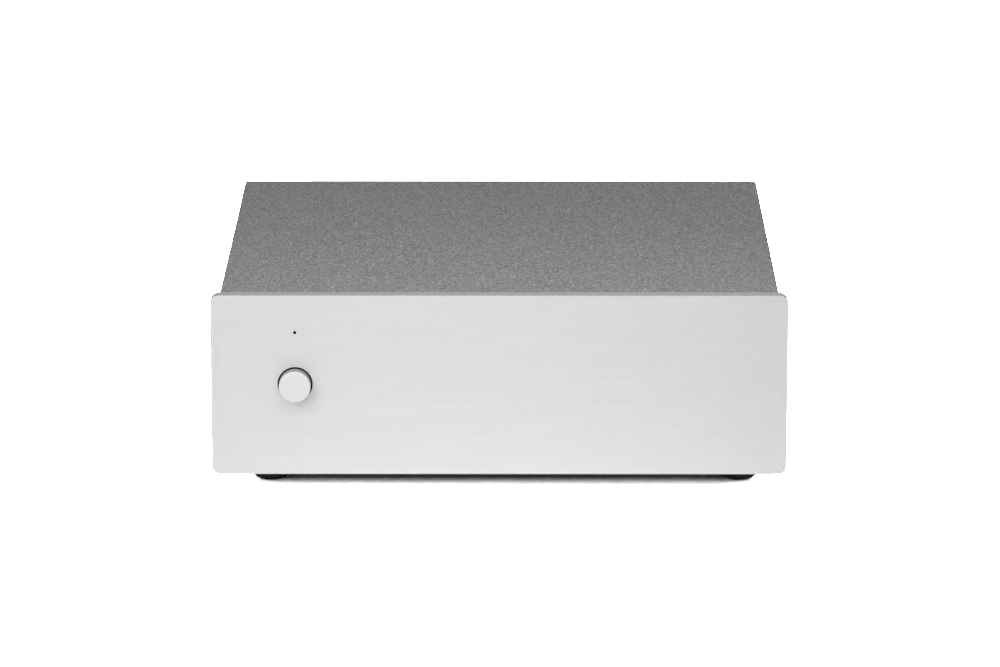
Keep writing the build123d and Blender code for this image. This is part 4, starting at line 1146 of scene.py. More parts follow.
def hex_nut(across, thickness, bore, bore_depth=None):
    """A nut about the local Z axis, with its corners turned off at both faces."""
    corner = across / math.sqrt(3)
    start, end = facing_start * across, corner + facing_reach
    drop = (end - start) * math.tan(facing_angle)
    cutters = [drill(Matrix.Translation((0, 0, thickness)), bore,
                     2 * (bore_depth or thickness + MM))]
    for face, way in ((0, -1), (thickness, 1)):
        cutters.append(turned([(start, face), (end, face - way * drop), (end, face + way * MM),
                               (start, face + way * MM)], steps=72))
    return machined(turned([(0, 0), (corner, 0), (corner, thickness), (0, thickness)], steps=6),
                    cutters)


for node, across, thickness, bore in (("pot_nut", 9.5 * MM, 2.0 * MM, 3.82 * MM),
                                      ("ground_lock_nut", 7.0 * MM, 3.0 * MM, 2.02 * MM)):
    finished(node + "_faced", hex_nut(across, thickness, bore), nickel_plate, node,
             lying(middle_of(node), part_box(node)[0].y))

# %% Earth post
stud_radius = 2.0 * MM
m4_pitch = 0.7 * MM
post_low, post_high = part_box("ground_post")
washer_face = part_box("ground_washer")[0].y
collar_radius = (post_high.x - post_low.x) / 2
post_place = lying(earth_middle, post_low.y)
stud = threaded(stud_radius, m4_pitch, 0, post_high.y - post_low.y, post_place, 36, 8)
collar = turned(softened([
    (0, rear_high.y - post_low.y, 0), (collar_radius, rear_high.y - post_low.y, small_edge),
    (collar_radius, washer_face - post_low.y, round_edge), (0, washer_face - post_low.y, 0)]),
    post_place, 72)
finished("earth_post_threaded", [stud, collar], nickel_plate, "ground_post")

low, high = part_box("ground_washer")
washer_bore = 2.1 * MM
washer_reach = (high.x - low.x) / 2
outline = softened([
    (washer_bore, 0, 0), (washer_reach, 0, small_edge), (washer_reach, high.y - low.y, small_edge),
    (washer_bore, high.y - low.y, small_edge)])
finished("earth_washer_stamped", turned(outline, lying(earth_middle, low.y), 72), nickel_plate,
         "ground_washer")

low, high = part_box("ground_thumb_nut")
nut_radius = (high.x - low.x) / 2
nut_length = high.y - low.y
nut_bore = 2.06 * MM
nut_edge = 0.4 * MM
nut_dish = 0.35 * MM
nut_dish_radius = 3.6 * MM
nut_floor_radius = 3.3 * MM
outline = softened([
    (nut_bore, 0, soft_edge), (nut_radius, 0, nut_edge), (nut_radius, nut_length, nut_edge),
    (nut_dish_radius, nut_length, soft_edge),
    (nut_floor_radius, nut_length - nut_dish, soft_edge),
    (nut_bore, nut_length - nut_dish, round_edge)], steps=6)
finished("earth_thumb_nut_fluted",
         fluted(outline, nickel_plate, flutes=20, depth=0.38 * MM, inner=3.9 * MM,
                outer=nut_radius),
         nickel_plate, "ground_thumb_nut", lying(earth_middle, low.y))

# %% [markdown]
# ## Power inlet
# A low-voltage inlet is a black moulded block with a round mouth, and a steel pin in the middle of
# it. Only the mouth shows, proud of the panel by half a millimetre.

# %% Power inlet
inlet_low, inlet_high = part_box("dc_jack_body")
boss_radius = 4.2 * MM
inlet_bore = 3.15 * MM
inlet_depth = 10.0 * MM
root_radius = 1.42 * MM
root_length = 2.0 * MM
inlet_axis = lying(inlet_middle, inlet_high.y)
boss_start = rear_inside - inlet_high.y - small_edge
inlet_block = machined(block(inlet_low, (inlet_high.x, rear_inside, inlet_high.z)), [
    drill(inlet_axis, inlet_bore, 2 * inlet_depth),
    drill(inlet_axis, root_radius, 2 * (inlet_depth + root_length), 32)], mould_edge)
boss = turned(softened([
    (inlet_bore, boss_start, 0), (boss_radius, boss_start, 0), (boss_radius, 0, mould_edge),
    (inlet_bore, 0, round_edge)]), inlet_axis, 72)
finished("power_inlet_moulded", [inlet_block, boss], black_nylon, "dc_jack_body")

low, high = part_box("dc_jack_pin")
pin_root = 1.4 * MM
pin_tip = 1.05 * MM
pin_nose = 0.6 * MM
outline = softened([
    (0, 0, 0), (pin_root, 0, 0), (pin_root, root_length, 0), (pin_tip, root_length, 0),
    (pin_tip, high.y - low.y, pin_nose), (0, high.y - low.y, 0)])
finished("power_inlet_pin_turned", turned(outline, lying(inlet_middle, low.y)), nickel_plate,
         "dc_jack_pin")

# %% [markdown]
# ## Printing
# The marks on the rear panel are screen printed: a layer of white ink a few hundredths of a
# millimetre thick. Numbers round the dial, letters for left and right and the sign for earth are all
# that it needs. The letters are text objects made into a mesh, and the lines are thin blocks.

# %% Printing
ink = 0.02 * MM


def printed(words, size, place):
    """Words as a thin layer of ink, centred on a place, in its local XY plane."""
    text = bpy.data.curves.new("words", "FONT")
    text.body = words
    text.size = size
    text.align_x = "CENTER"
    text.align_y = "CENTER"
    text.extrude = ink / 2
    text.resolution_u = 4
    mesh = evaluated(linked("words", text))
    mesh.transform(place)
    return mesh


def ruled(first, second, width, place):
    """A line of ink between two points of a place's local XY plane."""
    first, second = Vector(first), Vector(second)
    across = (second - first).normalized().orthogonal() * width / 2
    mesh = stretched([first - across, second - across, second + across, first + across],
                     (0, 1), -ink / 2, ink / 2)
    mesh.transform(place)
    return mesh


# %% Marks on the rear panel
letter_size = 3.6 * MM
letter_height = 9.5 * MM  # above the axes
word_height = 16 * MM
number_size = 2.4 * MM
line_width = 0.35 * MM
dial_sweep = math.radians(300)
dial_steps = 10
tick_start = 8.3 * MM
tick_end = 9.6 * MM
number_radius = 11.6 * MM
earth_stem = 2.2 * MM
earth_pitch = 0.8 * MM
earth_bars = (3.6 * MM, 2.4 * MM, 1.2 * MM)


def on_rear(middle, above=0.0):
    """A place on the rear panel; its local X points to the right for someone behind it."""
    return Matrix(((-1, 0, 0, middle.x), (0, 0, 1, rear_high.y + ink / 2),
                   (0, 1, 0, middle.z + above), (0, 0, 0, 1)))


marks = [printed("R" if socket.endswith("right") else "L", letter_size,
                 on_rear(middle, letter_height)) for socket, middle in socket_middles.items()]
for word, side in (("IN", "in"), ("OUT", "out")):
    middle = (socket_middles[side + "_left"] + socket_middles[side + "_right"]) / 2
    middle.z = dial_middle.z
    marks.append(printed(word, letter_size, on_rear(middle, word_height)))
marks.append(printed("DC", letter_size, on_rear(
    Vector((inlet_middle.x, 0, dial_middle.z)), letter_height)))
for step in range(dial_steps + 1):
    turn = dial_sweep * (0.5 - step / dial_steps)
    way = Vector((-math.sin(turn), math.cos(turn)))
    marks.append(ruled(way * tick_start, way * tick_end, line_width, on_rear(dial_middle)))
    marks.append(printed(str(step), number_size, on_rear(dial_middle) @ Matrix.Translation(
        (*(way * number_radius), 0))))
earth_place = on_rear(earth_middle, letter_height)
marks.append(ruled((0, 0), (0, earth_stem), line_width, earth_place))
for bar, bar_width in enumerate(earth_bars):
    marks.append(ruled((-bar_width / 2, -bar * earth_pitch), (bar_width / 2, -bar * earth_pitch),
                       line_width, earth_place))
finished("rear_panel_print", marks, white_ink)
print("rear panel: dial marks 0 to", dial_steps)

# %% [markdown]
# ## Switches underneath
# Two banks of slide switches look out through windows in the pan. A bank is a red moulded block with
# four slots and a white slider in each. A slider has a notch for a fingernail or the tip of a pen,
# and each slot has its number beside it.

# %% Switch banks
slot_width = 1.4 * MM
slot_length = 4.0 * MM
slot_depth = 2.0 * MM
notch_width = 0.45 * MM
notch_depth = 0.25 * MM
number_offset = 3.6 * MM
bank_number_size = 1.7 * MM
numbers = []
for side in ("left", "right"):
    body_low, body_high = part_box("dip_body_" + side)
    body_y = (body_low.y + body_high.y) / 2
    slots = []
    for way in range(1, 5):
        slider = f"dip_slider_{side}_{way}"
        low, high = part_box(slider)
        middle = (low + high) / 2
        slots.append(block(
            (middle.x - slot_width / 2, body_y - slot_length / 2, body_low.z - MM),
            (middle.x + slot_width / 2, body_y + slot_length / 2, body_low.z + slot_depth)))
        notch = block((low.x - MM, middle.y - notch_width / 2, low.z - MM),
                      (high.x + MM, middle.y + notch_width / 2, low.z + notch_depth))
        finished(slider + "_notched", machined(block(low, high), [notch], mould_edge),
                 white_plastic, slider)
        facing_down = Matrix(((-1, 0, 0, middle.x), (0, 1, 0, body_y - number_offset),
                              (0, 0, -1, body_low.z - ink / 2), (0, 0, 0, 1)))
        numbers.append(printed(str(way), bank_number_size, facing_down))
    finished(f"dip_body_{side}_moulded", machined(block(body_low, body_high), slots, mould_edge),
             red_plastic, "dip_body_" + side)
finished("dip_bank_numbers", numbers, white_ink)
print("sliders in the switch banks:", len(numbers))

# %% [markdown]
# ## Sheet metal and boards inside
# A zinc-plated bulkhead carries the front panel, and two circuit boards carry everything else. Their
# shape in the frame is already right and only wants its sharp edges eased: a copy of it is merged,
# its flat faces are made whole and Bevel does the rest. A board is green on its faces, while its sawn
# edge shows the bare glass and resin, so each face looks at which way it points.

# %% Bulkhead and boards
board_edge = 0.08 * MM


def eased(node, edge, segments=2):
    """A copy of a node's solids with its sharp edges taken off."""
    shape = joined_copy(node)
    bmesh.ops.dissolve_limit(shape, angle_limit=math.radians(0.5), verts=shape.verts,
                             edges=shape.edges)
    return machined(as_mesh(shape), (), edge, segments)


finished("front_bulkhead_folded", eased("front_bulkhead", fine_edge), zinc_plate, "front_bulkhead")
for node, thin_axis in (("main_board", 2), ("front_board", 1)):
    board = painted(eased(node, board_edge, 1),
                    lambda middle, normal: int(abs(normal[thin_axis]) <= 0.5))
    finished(node + "_masked", board, [solder_mask, bare_board], node)

# %% [markdown]
# ## Standoffs
# The boards stand on hexagon posts, turned from brass bar and nickel plated. Each is pressed into its
# sheet with a round shank and tapped at the other end. It is the nut's shape again, only longer and
# with a blind hole.

# %% Standoffs
post_across = 5.0 * MM
post_bore = 1.52 * MM
post_bore_depth = 5.0 * MM
post_shank = 2.1 * MM
bulkhead_sheet = 1.2 * MM


def hex_post(length, shank):
    """A post that stands at z = 0, with its shank below."""
    return as_mesh(shape_of(
        hex_nut(post_across, length, post_bore, post_bore_depth),
        turned(softened([(0, -shank, 0), (post_shank, -shank, soft_edge),
                         (post_shank, soft_edge, 0), (0, soft_edge, 0)]), steps=36)))


def standing(node):
    """For each solid of a node, the middle of its underside as a place, and its size."""
    found = []
    for low, high in map(box_of, solids(node)):
        middle = (low + high) / 2
        found.append((Matrix.Translation((middle.x, middle.y, low.z)), high - low))
    return found


board_low, board_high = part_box("board_standoffs")
board_posts = [Matrix.Translation(place.translation + Vector((0, 0, sheet)))
               for place, size in standing("board_standoffs")]
assembled("board_standoffs_turned", "board_standoffs", board_posts,
          (hex_post(board_high.z - board_low.z - sheet, sheet), nickel_plate))
front_low, front_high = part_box("front_standoffs")
front_posts = [lying((low + high) / 2, low.y + bulkhead_sheet)
               for low, high in map(box_of, solids("front_standoffs"))]
assembled("front_standoffs_turned", "front_standoffs", front_posts,
          (hex_post(front_high.y - front_low.y - bulkhead_sheet, bulkhead_sheet), nickel_plate))
print("standoffs:", len(board_posts), "under the board,", len(front_posts), "in front")

# %% [markdown]
# ## Spring behind the button
# A compression spring is a helix with its first and last turns closed, so that it stands flat. A node
# tree makes a spiral of the right number of turns and then moves its points along the axis with a
# smooth step, which draws the ends together. The wire is a circle swept along it.

# %% Spring
spring_tree, given = new_tree("Coil spring", {
    "Turns": "Float", "Length": "Float", "Coil Radius": "Float", "Wire Radius": "Float"})
spiral = add_node(spring_tree, "GeometryNodeCurveSpiral", {
    "Resolution": 40, "Rotations": given["Turns"], "Start Radius": given["Coil Radius"],
    "End Radius": given["Coil Radius"], "Height": 0.0})
rise = add_node(spring_tree, "ShaderNodeMapRange", {
    "Value": add_node(spring_tree, "GeometryNodeSplineParameter").outputs["Factor"],
    "To Max": given["Length"]}, interpolation_type="SMOOTHSTEP")
raised = add_node(spring_tree, "GeometryNodeSetPosition", {
    "Geometry": spiral, "Offset": add_node(spring_tree, "ShaderNodeCombineXYZ", {"Z": rise})})
swept = add_node(spring_tree, "GeometryNodeCurveToMesh", {
    "Curve": raised, "Profile Curve": add_node(spring_tree, "GeometryNodeCurvePrimitiveCircle", {
        "Resolution": 12, "Radius": given["Wire Radius"]}), "Fill Caps": True})
close_tree(spring_tree, swept, given["Material"])

spring_low, spring_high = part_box("button_spring")
wire_radius = 0.25 * MM
spring_turns = 4.5
spring = finished("button_spring_coiled", grown(
    spring_tree, Turns=spring_turns, Length=spring_high.y - spring_low.y - 2 * wire_radius,
    Coil_Radius=(spring_high.x - spring_low.x) / 2 - wire_radius, Wire_Radius=wire_radius,
    Material=spring_wire), spring_wire, "button_spring",
    lying(button_middle, spring_low.y + wire_radius))
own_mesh(spring)

# %% [markdown]
# ## Switch and lamp
# The button pushes a white plunger into a small black switch. The lamp is a 3 mm light-emitting
# diode with a domed lens and a rim, set on a spacer, and its two legs go to the board.

# %% Plunger and switch
plunger_low, plunger_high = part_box("switch_plunger")
plunger_radius = (plunger_high.x - plunger_low.x) / 2
plunger_length = plunger_high.y - plunger_low.y
neck_radius = 1.55 * MM
neck_start = 8.6 * MM
neck_end = 9.6 * MM
outline = softened([
    (0, 0, 0), (plunger_radius, 0, round_edge), (plunger_radius, neck_start, fine_edge),
    (neck_radius, neck_start, fine_edge), (neck_radius, neck_end, fine_edge),
    (plunger_radius, neck_end, fine_edge), (plunger_radius, plunger_length, round_edge),
    (0, plunger_length, 0)])
finished("switch_plunger_moulded", turned(outline), white_plastic, "switch_plunger",
         lying(button_middle, plunger_low.y))

switch_low, switch_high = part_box("switch_body")
switch_bore = 2.06 * MM
switch_bore_depth = 6.2 * MM
pin_width = 0.6 * MM
pin_thickness = 0.3 * MM
pin_reach = 2.4 * MM
pin_column = 2.5 * MM
pin_row = 2.54 * MM
pins = []
for column in (-1, 1):
    for row in (-1, 0, 1):
        x = button_middle.x + column * pin_column
        z = button_middle.z + row * pin_row
        pins.append(block(
            (x - pin_thickness / 2, switch_high.y - soft_edge, z - pin_width / 2),
            (x + pin_thickness / 2, switch_high.y + pin_reach, z + pin_width / 2)))
bore = drill(lying(button_middle, switch_low.y), switch_bore, 2 * switch_bore_depth)
finished("switch_body_moulded", layered(
    machined(block(switch_low, switch_high), [bore], soft_edge),
    machined(as_mesh(shape_of(*pins)), (), pin_edge, 1)), [black_nylon, nickel_plate],
    "switch_body")

# %% Lamp
lamp_low, lamp_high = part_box("led")
lens_radius = 1.5 * MM
lens_dome = 1.4 * MM
rim_radius = (lamp_high.x - lamp_low.x) / 2
rim_thickness = 1.0 * MM
lens_length = 5.3 * MM
leg_pitch = 1.27 * MM
leg_radius = 0.25 * MM
leg_root = 0.5 * MM
lens_end = lamp_low.y + lens_length
lens = turned(softened([
    (0, 0, 0), (rim_radius, 0, small_edge), (rim_radius, rim_thickness, mould_edge),
    (lens_radius, rim_thickness, fine_edge), (lens_radius, lens_length, lens_dome),
    (0, lens_length, 0)], steps=8), lying(lamp_middle, lens_end, TO_FRONT))
legs = wires([[Vector((lamp_middle.x + side * leg_pitch, y, lamp_middle.z))
               for y in (lens_end - leg_root, lamp_high.y)] for side in (-1, 1)], leg_radius)
finished("lamp_lens_moulded", layered(lens, legs), [lens_painted_shade, nickel_plate], "led")
finished("lamp_spacer_moulded", eased("led_spacer", hole_edge, 1), black_nylon, "led_spacer")

# %% [markdown]
# ## Ribbon cable
# Eight small wires lie side by side in one grey ribbon, and it leaves the front board, bends once and
# drops into a header on the main board. Each wire is a round curve on the same bent path. They are
# set a little closer than their thickness, so they melt into each other as the real ribbon does.

# %% Headers and ribbon
ribbon_low, ribbon_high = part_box("ribbon_cable")
wire_count = 8
ribbon_wire = 0.5 * MM
ribbon_bend = 4.95 * MM
plug_in = 0.4 * MM
mouth_depth = 1.2 * MM
mouth_margin = 0.5 * MM
wire_pitch = (ribbon_high.x - ribbon_low.x - 2 * ribbon_wire) / (wire_count - 1)
far, top = ribbon_high.y - ribbon_wire, ribbon_high.z - ribbon_wire
paths = [bent_path([(x, ribbon_low.y - plug_in, top), (x, far, top),
                    (x, far, ribbon_low.z - plug_in)], ribbon_bend, steps=16)
         for x in [ribbon_low.x + ribbon_wire + number * wire_pitch
                   for number in range(wire_count)]]
finished("ribbon_cable_wires", wires(paths, ribbon_wire, 3), ribbon_vinyl, "ribbon_cable")

headers, mouths = [], []
for low, high in map(box_of, solids("cable_headers")):
    headers.append(block(low, high))
    mouth_low = Vector((ribbon_low.x - mouth_margin, low.y + MM, low.z + MM))
    mouth_high = Vector((ribbon_high.x + mouth_margin, high.y - MM, high.z - MM))
    open_axis = 2 if low.z < ribbon_low.z else 1  # upwards on the main board, else backwards
    mouth_low[open_axis] = high[open_axis] - mouth_depth
    mouth_high[open_axis] = high[open_axis] + MM
    mouths.append(block(mouth_low, mouth_high))
finished("cable_headers_moulded", machined(as_mesh(shape_of(*headers)), mouths, round_edge),
         white_plastic, "cable_headers")
print("ribbon:", wire_count, "wires at", round(wire_pitch / MM, 2), "mm")

# %% [markdown]
# ## Capacitors
# An electrolytic capacitor is an aluminium can in a shrunk plastic sleeve. The can is rolled in near
# its foot to hold the rubber plug, the sleeve curls over its top edge, a pale stripe marks the
# negative side, and two scores in the top let it open safely if it fails. The film capacitors are
# wound foil dipped in epoxy, so all their edges are soft.

# %% Electrolytic capacitors
can_edge = 0.6 * MM
sleeve_lap = 1.0 * MM
top_recess = 0.25 * MM
top_thickness = 0.95 * MM
groove_height = 2.2 * MM
groove_half = 0.6 * MM
groove_depth = 0.3 * MM
groove_edge = 0.4 * MM
score_width = 0.3 * MM
score_depth = 0.15 * MM
floor_gap = 0.2 * MM
stripe_start = 1.2 * MM  # above the groove
stripe_end = 1.4 * MM  # below the top
stripe_half = math.radians(24)
stripe_steps = 8


def can_layers(radius, height):
    """The sleeve, the bare top and the stripe of one capacitor that stands at the origin."""
    opening = radius - sleeve_lap
    face = height - top_recess
    sleeve = turned(softened([
        (0, 0, 0), (radius - round_edge, 0, 0), (radius, round_edge, 0),
        (radius, groove_height - groove_half, groove_edge),
        (radius - groove_depth, groove_height, round_edge),
        (radius, groove_height + groove_half, groove_edge), (radius, height, can_edge),
        (opening, height, fine_edge), (opening, face - floor_gap, 0), (0, face - floor_gap, 0)]))
    reach = opening - hair
    top = turned([(0, face - top_thickness), (reach, face - top_thickness), (reach, face),
                  (0, face)])
    scores = [block((-x, -y, face - score_depth), (x, y, height + MM))
              for x, y in ((0.8 * opening, score_width / 2), (score_width / 2, 0.8 * opening))]
    turns = [stripe_half * (2 * step / stripe_steps - 1) for step in range(stripe_steps + 1)]
    outer, inner = ([Vector((math.cos(turn), math.sin(turn))) * (radius + reach) for turn in turns]
                    for reach in (ink, -fine_edge))
    stripe = stretched(outer + inner[::-1], (0, 1), groove_height + stripe_start,
                       height - stripe_end)
    return sleeve, carved(top, *scores), stripe


cans = {}
for place, size in standing("electrolytic_capacitors"):
    cans.setdefault((round(size.x / MM), round(size.z / MM)), []).append(place)
can_finishes = [capacitor_sleeve, pressed_aluminium, sleeve_ink]
kinds = [[repeated(mesh, places, material) for mesh, material in zip(
    can_layers(across * MM / 2, height * MM), can_finishes)]
    for (across, height), places in cans.items()]
finished("electrolytic_capacitors_sleeved",
         layered(*[as_mesh(shape_of(*layer)) for layer in zip(*kinds)]), can_finishes,
         "electrolytic_capacitors")
for (across, height), places in cans.items():
    print("capacitors of", across, "by", height, "mm:", len(places))

# %% Film capacitors
film_edge = 0.9 * MM
finished("film_capacitors_dipped", eased("film_capacitors", film_edge, 4), film_coating,
         "film_capacitors", sharp=50)

# %% [markdown]
# ## Relays and chips
# The relays switch the signal with sealed contacts: a black case over a base, with a fine seam
# between them. A chip is moulded in two halves, so its sides lean in from a parting line, and it
# stands on eight bent legs. The half-round notch marks its first leg.

# %% Relays


def alike(node):
    """The places of a node's solids, which are all of one size, and that size."""
    found = standing(node)
    return [place for place, size in found], found[0][1]


def centred(size, inset, bottom, top):
    """A block about the local Z axis, set in from a size by the same step on all sides."""
    reach = Vector((size.x / 2 - inset, size.y / 2 - inset))
    return block((-reach.x, -reach.y, bottom), (reach.x, reach.y, top))


seam_height = 1.3 * MM
seam_gap = 0.12 * MM
case_draft = 0.08 * MM
works_inset = 0.4 * MM
works_gap = 0.5 * MM
relay_places, size = alike("relays")
relay = as_mesh(shape_of(
    centred(size, 0, 0, seam_height),
    centred(size, case_draft, seam_height + seam_gap, size.z),
    centred(size, works_inset, works_gap, size.z - works_gap)))
assembled("relays_moulded", "relays", relay_places, (machined(relay, (), soft_edge), black_nylon))

# %% Amplifier chips
chip_lift = 0.5 * MM
chip_draft = 0.18 * MM
chip_notch = 0.8 * MM
leg_width = 1.2 * MM
leg_tip_width = 0.5 * MM
leg_thickness = 0.25 * MM
leg_shoulder = 0.6 * MM
legs_in_row = 4
leg_embedded = 0.3 * MM
leg_edge = 0.04 * MM
chip_places, chip_size = alike("amplifier_chips")
half = chip_size / 2
parting = (chip_lift + chip_size.z) / 2
leg_columns = [(column - (legs_in_row - 1) / 2) * pin_row for column in range(legs_in_row)]
leg_out = half.y + leg_shoulder
profile = [Vector((side * y, z)) for side, y, z in (
    (-1, half.y - chip_draft, chip_lift), (1, half.y - chip_draft, chip_lift),
    (1, half.y, parting), (1, half.y - chip_draft, chip_size.z),
    (-1, half.y - chip_draft, chip_size.z), (-1, half.y, parting))]
notch = drill(Matrix.Translation((-half.x, 0, chip_size.z)), chip_notch, 1.2 * MM)
chip = machined(stretched(profile, (1, 2), -half.x, half.x), [notch], fine_edge)
legs = []
for x in leg_columns:
    for side in (-1, 1):
        out, inner = side * leg_out, side * (leg_out - leg_thickness)
        root = side * (half.y - leg_embedded)
        bent_leg = [Vector(corner) for corner in (
            (root, parting - leg_thickness / 2), (inner, parting - leg_thickness / 2),
            (inner, chip_lift), (out, chip_lift),
            (out, parting + leg_thickness / 2), (root, parting + leg_thickness / 2))]
        legs += [stretched(bent_leg, (1, 2), x - leg_width / 2, x + leg_width / 2),
                 block((x - leg_tip_width / 2, min(inner, out), 0),
                       (x + leg_tip_width / 2, max(inner, out), chip_lift + fine_edge))]
assembled("amplifier_chips_moulded", "amplifier_chips", chip_places, (chip, black_epoxy),
          (machined(as_mesh(shape_of(*legs)), (), leg_edge, 1), nickel_plate))
print("relays:", len(relay_places), "- chips:", len(chip_places))

# %% [markdown]
# ## Regulators and transistors
# A regulator has a metal tab with a hole, moulded into the back of a black block. A small transistor
# is a half-round block with a flat front. Both stand on three legs.

# %% Regulators
tab_thickness = 1.3 * MM
tab_hole = 1.8 * MM
tab_drill = 6.0 * MM
body_height = 9.0 * MM
body_lift = 1.6 * MM
leg_half = Vector((0.4 * MM, 0.25 * MM))
regulator_places, size = alike("regulators")
half = size / 2
body = block((-half.x, -half.y, body_lift), (half.x, half.y - 0.2 * MM, body_height))
tab = block((-half.x, half.y - tab_thickness, body_lift + MM), (half.x, half.y, size.z))
hole = drill(lying(Vector((0, 0, (body_height + size.z) / 2)), half.y), tab_hole, tab_drill)
legs = as_mesh(shape_of(*[block((x - leg_half.x, -leg_half.y, 0),
                                (x + leg_half.x, leg_half.y, body_lift + round_edge))
                          for x in (-pin_row, 0, pin_row)]))
assembled("regulators_moulded", "regulators", regulator_places,
          (machined(body, (), case_edge), black_epoxy),
          (machined(tab, [hole], small_edge), nickel_plate),
          (machined(legs, (), pin_edge, 1), nickel_plate))

# %% Transistors
flat_face = 1.6 * MM
stilts = 2.5 * MM
transistor_places, size = alike("transistors")
radius = size.x / 2
shift = radius - size.y / 2  # from the middle of the box to the axis of the round side
start_turn = -math.asin(flat_face / radius)
round_steps = 20
turns = [start_turn + (math.pi - 2 * start_turn) * step / round_steps
         for step in range(round_steps + 1)]
profile = [Vector((radius * math.cos(turn), radius * math.sin(turn) - shift)) for turn in turns]
body = machined(stretched(profile, (0, 1), stilts, size.z), (), mould_edge)
legs = wires([[Vector((number * leg_pitch, -shift, z)) for z in (0, stilts + round_edge)]
              for number in (-1, 0, 1)], leg_radius)
assembled("transistors_moulded", "transistors", transistor_places, (body, black_epoxy),
          (legs, nickel_plate))
print("regulators:", len(regulator_places), "- transistors:", len(transistor_places))

# %% [markdown]
# ## Resistors
# A metal film resistor is a ceramic rod with a pressed cap on each end, all under blue lacquer, so
# it is thicker at its ends. Coloured rings give its value. Its wire goes straight out and then down
# through the board.

# %% Resistors
rod_radius = 1.2 * MM
rod_waist = 1.0 * MM
rod_half = 3.15 * MM
cap_end = rod_half - 1.5 * MM
waist_end = rod_half - 1.95 * MM
band_width = 0.5 * MM
band_pitch = 0.85 * MM
resistor_leg = 0.3 * MM
resistor_span = 10.0 * MM
end_edge = 0.5 * MM
band_root = 0.2 * MM
wire_root = 0.4 * MM
wire_bend = 0.8 * MM
resistor_places, size = alike("resistors")
rod_height = size.z - rod_radius
wire_end = resistor_span / 2 - resistor_leg
along_x = Matrix.Translation((0, 0, rod_height)) @ Matrix.Rotation(math.pi / 2, 4, "Y")
rod = turned(softened([
    (0, -rod_half, 0), (rod_radius, -rod_half, end_edge), (rod_radius, -cap_end, round_edge),
    (rod_waist, -waist_end, round_edge), (rod_waist, waist_end, round_edge),
    (rod_radius, cap_end, round_edge), (rod_radius, rod_half, end_edge), (0, rod_half, 0)]),
    along_x, 32)


def rings(*numbers):
    """Painted rings round the resistor, at numbered steps from its middle."""
    made = []
    for near in [number * band_pitch - band_width / 2 for number in numbers]:
        reach = rod_radius if abs(near) > 1.5 * band_pitch else rod_waist
        made.append(turned([(reach - band_root, near), (reach + ink, near),
                            (reach + ink, near + band_width),
                            (reach - band_root, near + band_width)], along_x, 32))
    return as_mesh(shape_of(*made))


legs = wires([bent_path([
    (side * (rod_half - wire_root), 0, rod_height), (side * wire_end, 0, rod_height),
    (side * wire_end, 0, 0)], wire_bend) for side in (-1, 1)], resistor_leg)
assembled("resistors_lacquered", "resistors", resistor_places, (rod, resistor_lacquer),
          (rings(-2.7, 2.7), brown_lacquer), (rings(-1.0, 0.0), black_epoxy),
          (rings(1.0), red_plastic), (legs, nickel_plate))
print("resistors:", len(resistor_places))

# %% [markdown]
# ## Potentiometer and socket housings
# The potentiometer behind the dial is a black block with a turned and plated bush. The housings of
# the phono sockets keep the frame's shape, with soft moulded edges.

# %% Potentiometer and housings
bush_radius = 3.8 * MM
bush_bore = 3.06 * MM
pot_low, pot_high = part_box("pot_body")
pot_axis = lying(dial_middle, rear_inside)
bush_length = pot_high.y - rear_inside
bush = turned(softened([
    (bush_bore, -MM, 0), (bush_radius, -MM, 0), (bush_radius, bush_length, round_edge),
    (bush_bore, bush_length, fine_edge)]), pot_axis)
pot_block = machined(block(pot_low, (pot_high.x, rear_inside, pot_high.z)),
                     [drill(pot_axis, bush_bore, short_drill)], round_edge)
finished("pot_body_moulded", layered(pot_block, bush), [black_nylon, nickel_plate], "pot_body")
finished("pot_shaft_turned", eased("pot_shaft", soft_edge), nickel_plate, "pot_shaft")
finished("rca_housings_moulded", eased("rca_housings", case_edge), black_nylon, "rca_housings")

# %% [markdown]
# ## Marks and pads on the board
# Under each leg the copper is bare and tinned, a small bright ring. The outline of each part is
# screen printed round it, which shows where it goes. Both are thin layers on the board's upper face.

# %% Pads
pad_radius = 0.75 * MM
board_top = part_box("main_board")[1].z
leg_spots = (
    (resistor_places, [(side * wire_end, 0) for side in (-1, 1)]),
    (transistor_places, [(number * leg_pitch, -shift) for number in (-1, 0, 1)]),
    (chip_places, [(x, side * (leg_out - leg_thickness / 2))
                   for x in leg_columns for side in (-1, 1)]))
pads = [Matrix.Translation((place.translation.x + x, place.translation.y + y, board_top))
        for places, spots in leg_spots for place in places for x, y in spots]
pad = turned([(0, -ink), (pad_radius, -ink), (pad_radius, 0.5 * ink), (0.6 * pad_radius, 2 * ink),
              (0, 2 * ink)], steps=20)
assembled("main_board_pads", None, pads, (pad, nickel_plate))

# %% Outlines
outline_margin = 0.6 * MM
outline_width = 0.2 * MM
on_board = Matrix.Translation((0, 0, board_top + 0.3 * ink))
margins = {"film_capacitors": Vector((outline_margin, outline_margin)),
           "relays": Vector((outline_margin, outline_margin)),
           "amplifier_chips": Vector((outline_margin, -outline_margin)),
           "regulators": Vector((outline_margin, outline_margin)),
           "resistors": Vector((rod_half - size.x / 2, outline_margin))}
marks = []
for node, margin in margins.items():
    for place, size in standing(node):
        reach = size.xy / 2 + margin
        corners = rectangle(place.translation.xy - reach, place.translation.xy + reach, 0, 1)
        marks += [ruled(first, second, outline_width, on_board)
                  for first, second in zip(corners, corners[1:] + corners[:1])]
for place, size in standing("electrolytic_capacitors"):
    reach = size.x / 2 + outline_margin
    marks.append(turned([
        (reach, -ink / 2), (reach + outline_width, -ink / 2), (reach + outline_width, ink / 2),
        (reach, ink / 2)], on_board @ Matrix.Translation((*place.translation.xy, 0)), 64))
finished("main_board_print", marks, white_ink)
print("pads on the board:", len(pads))

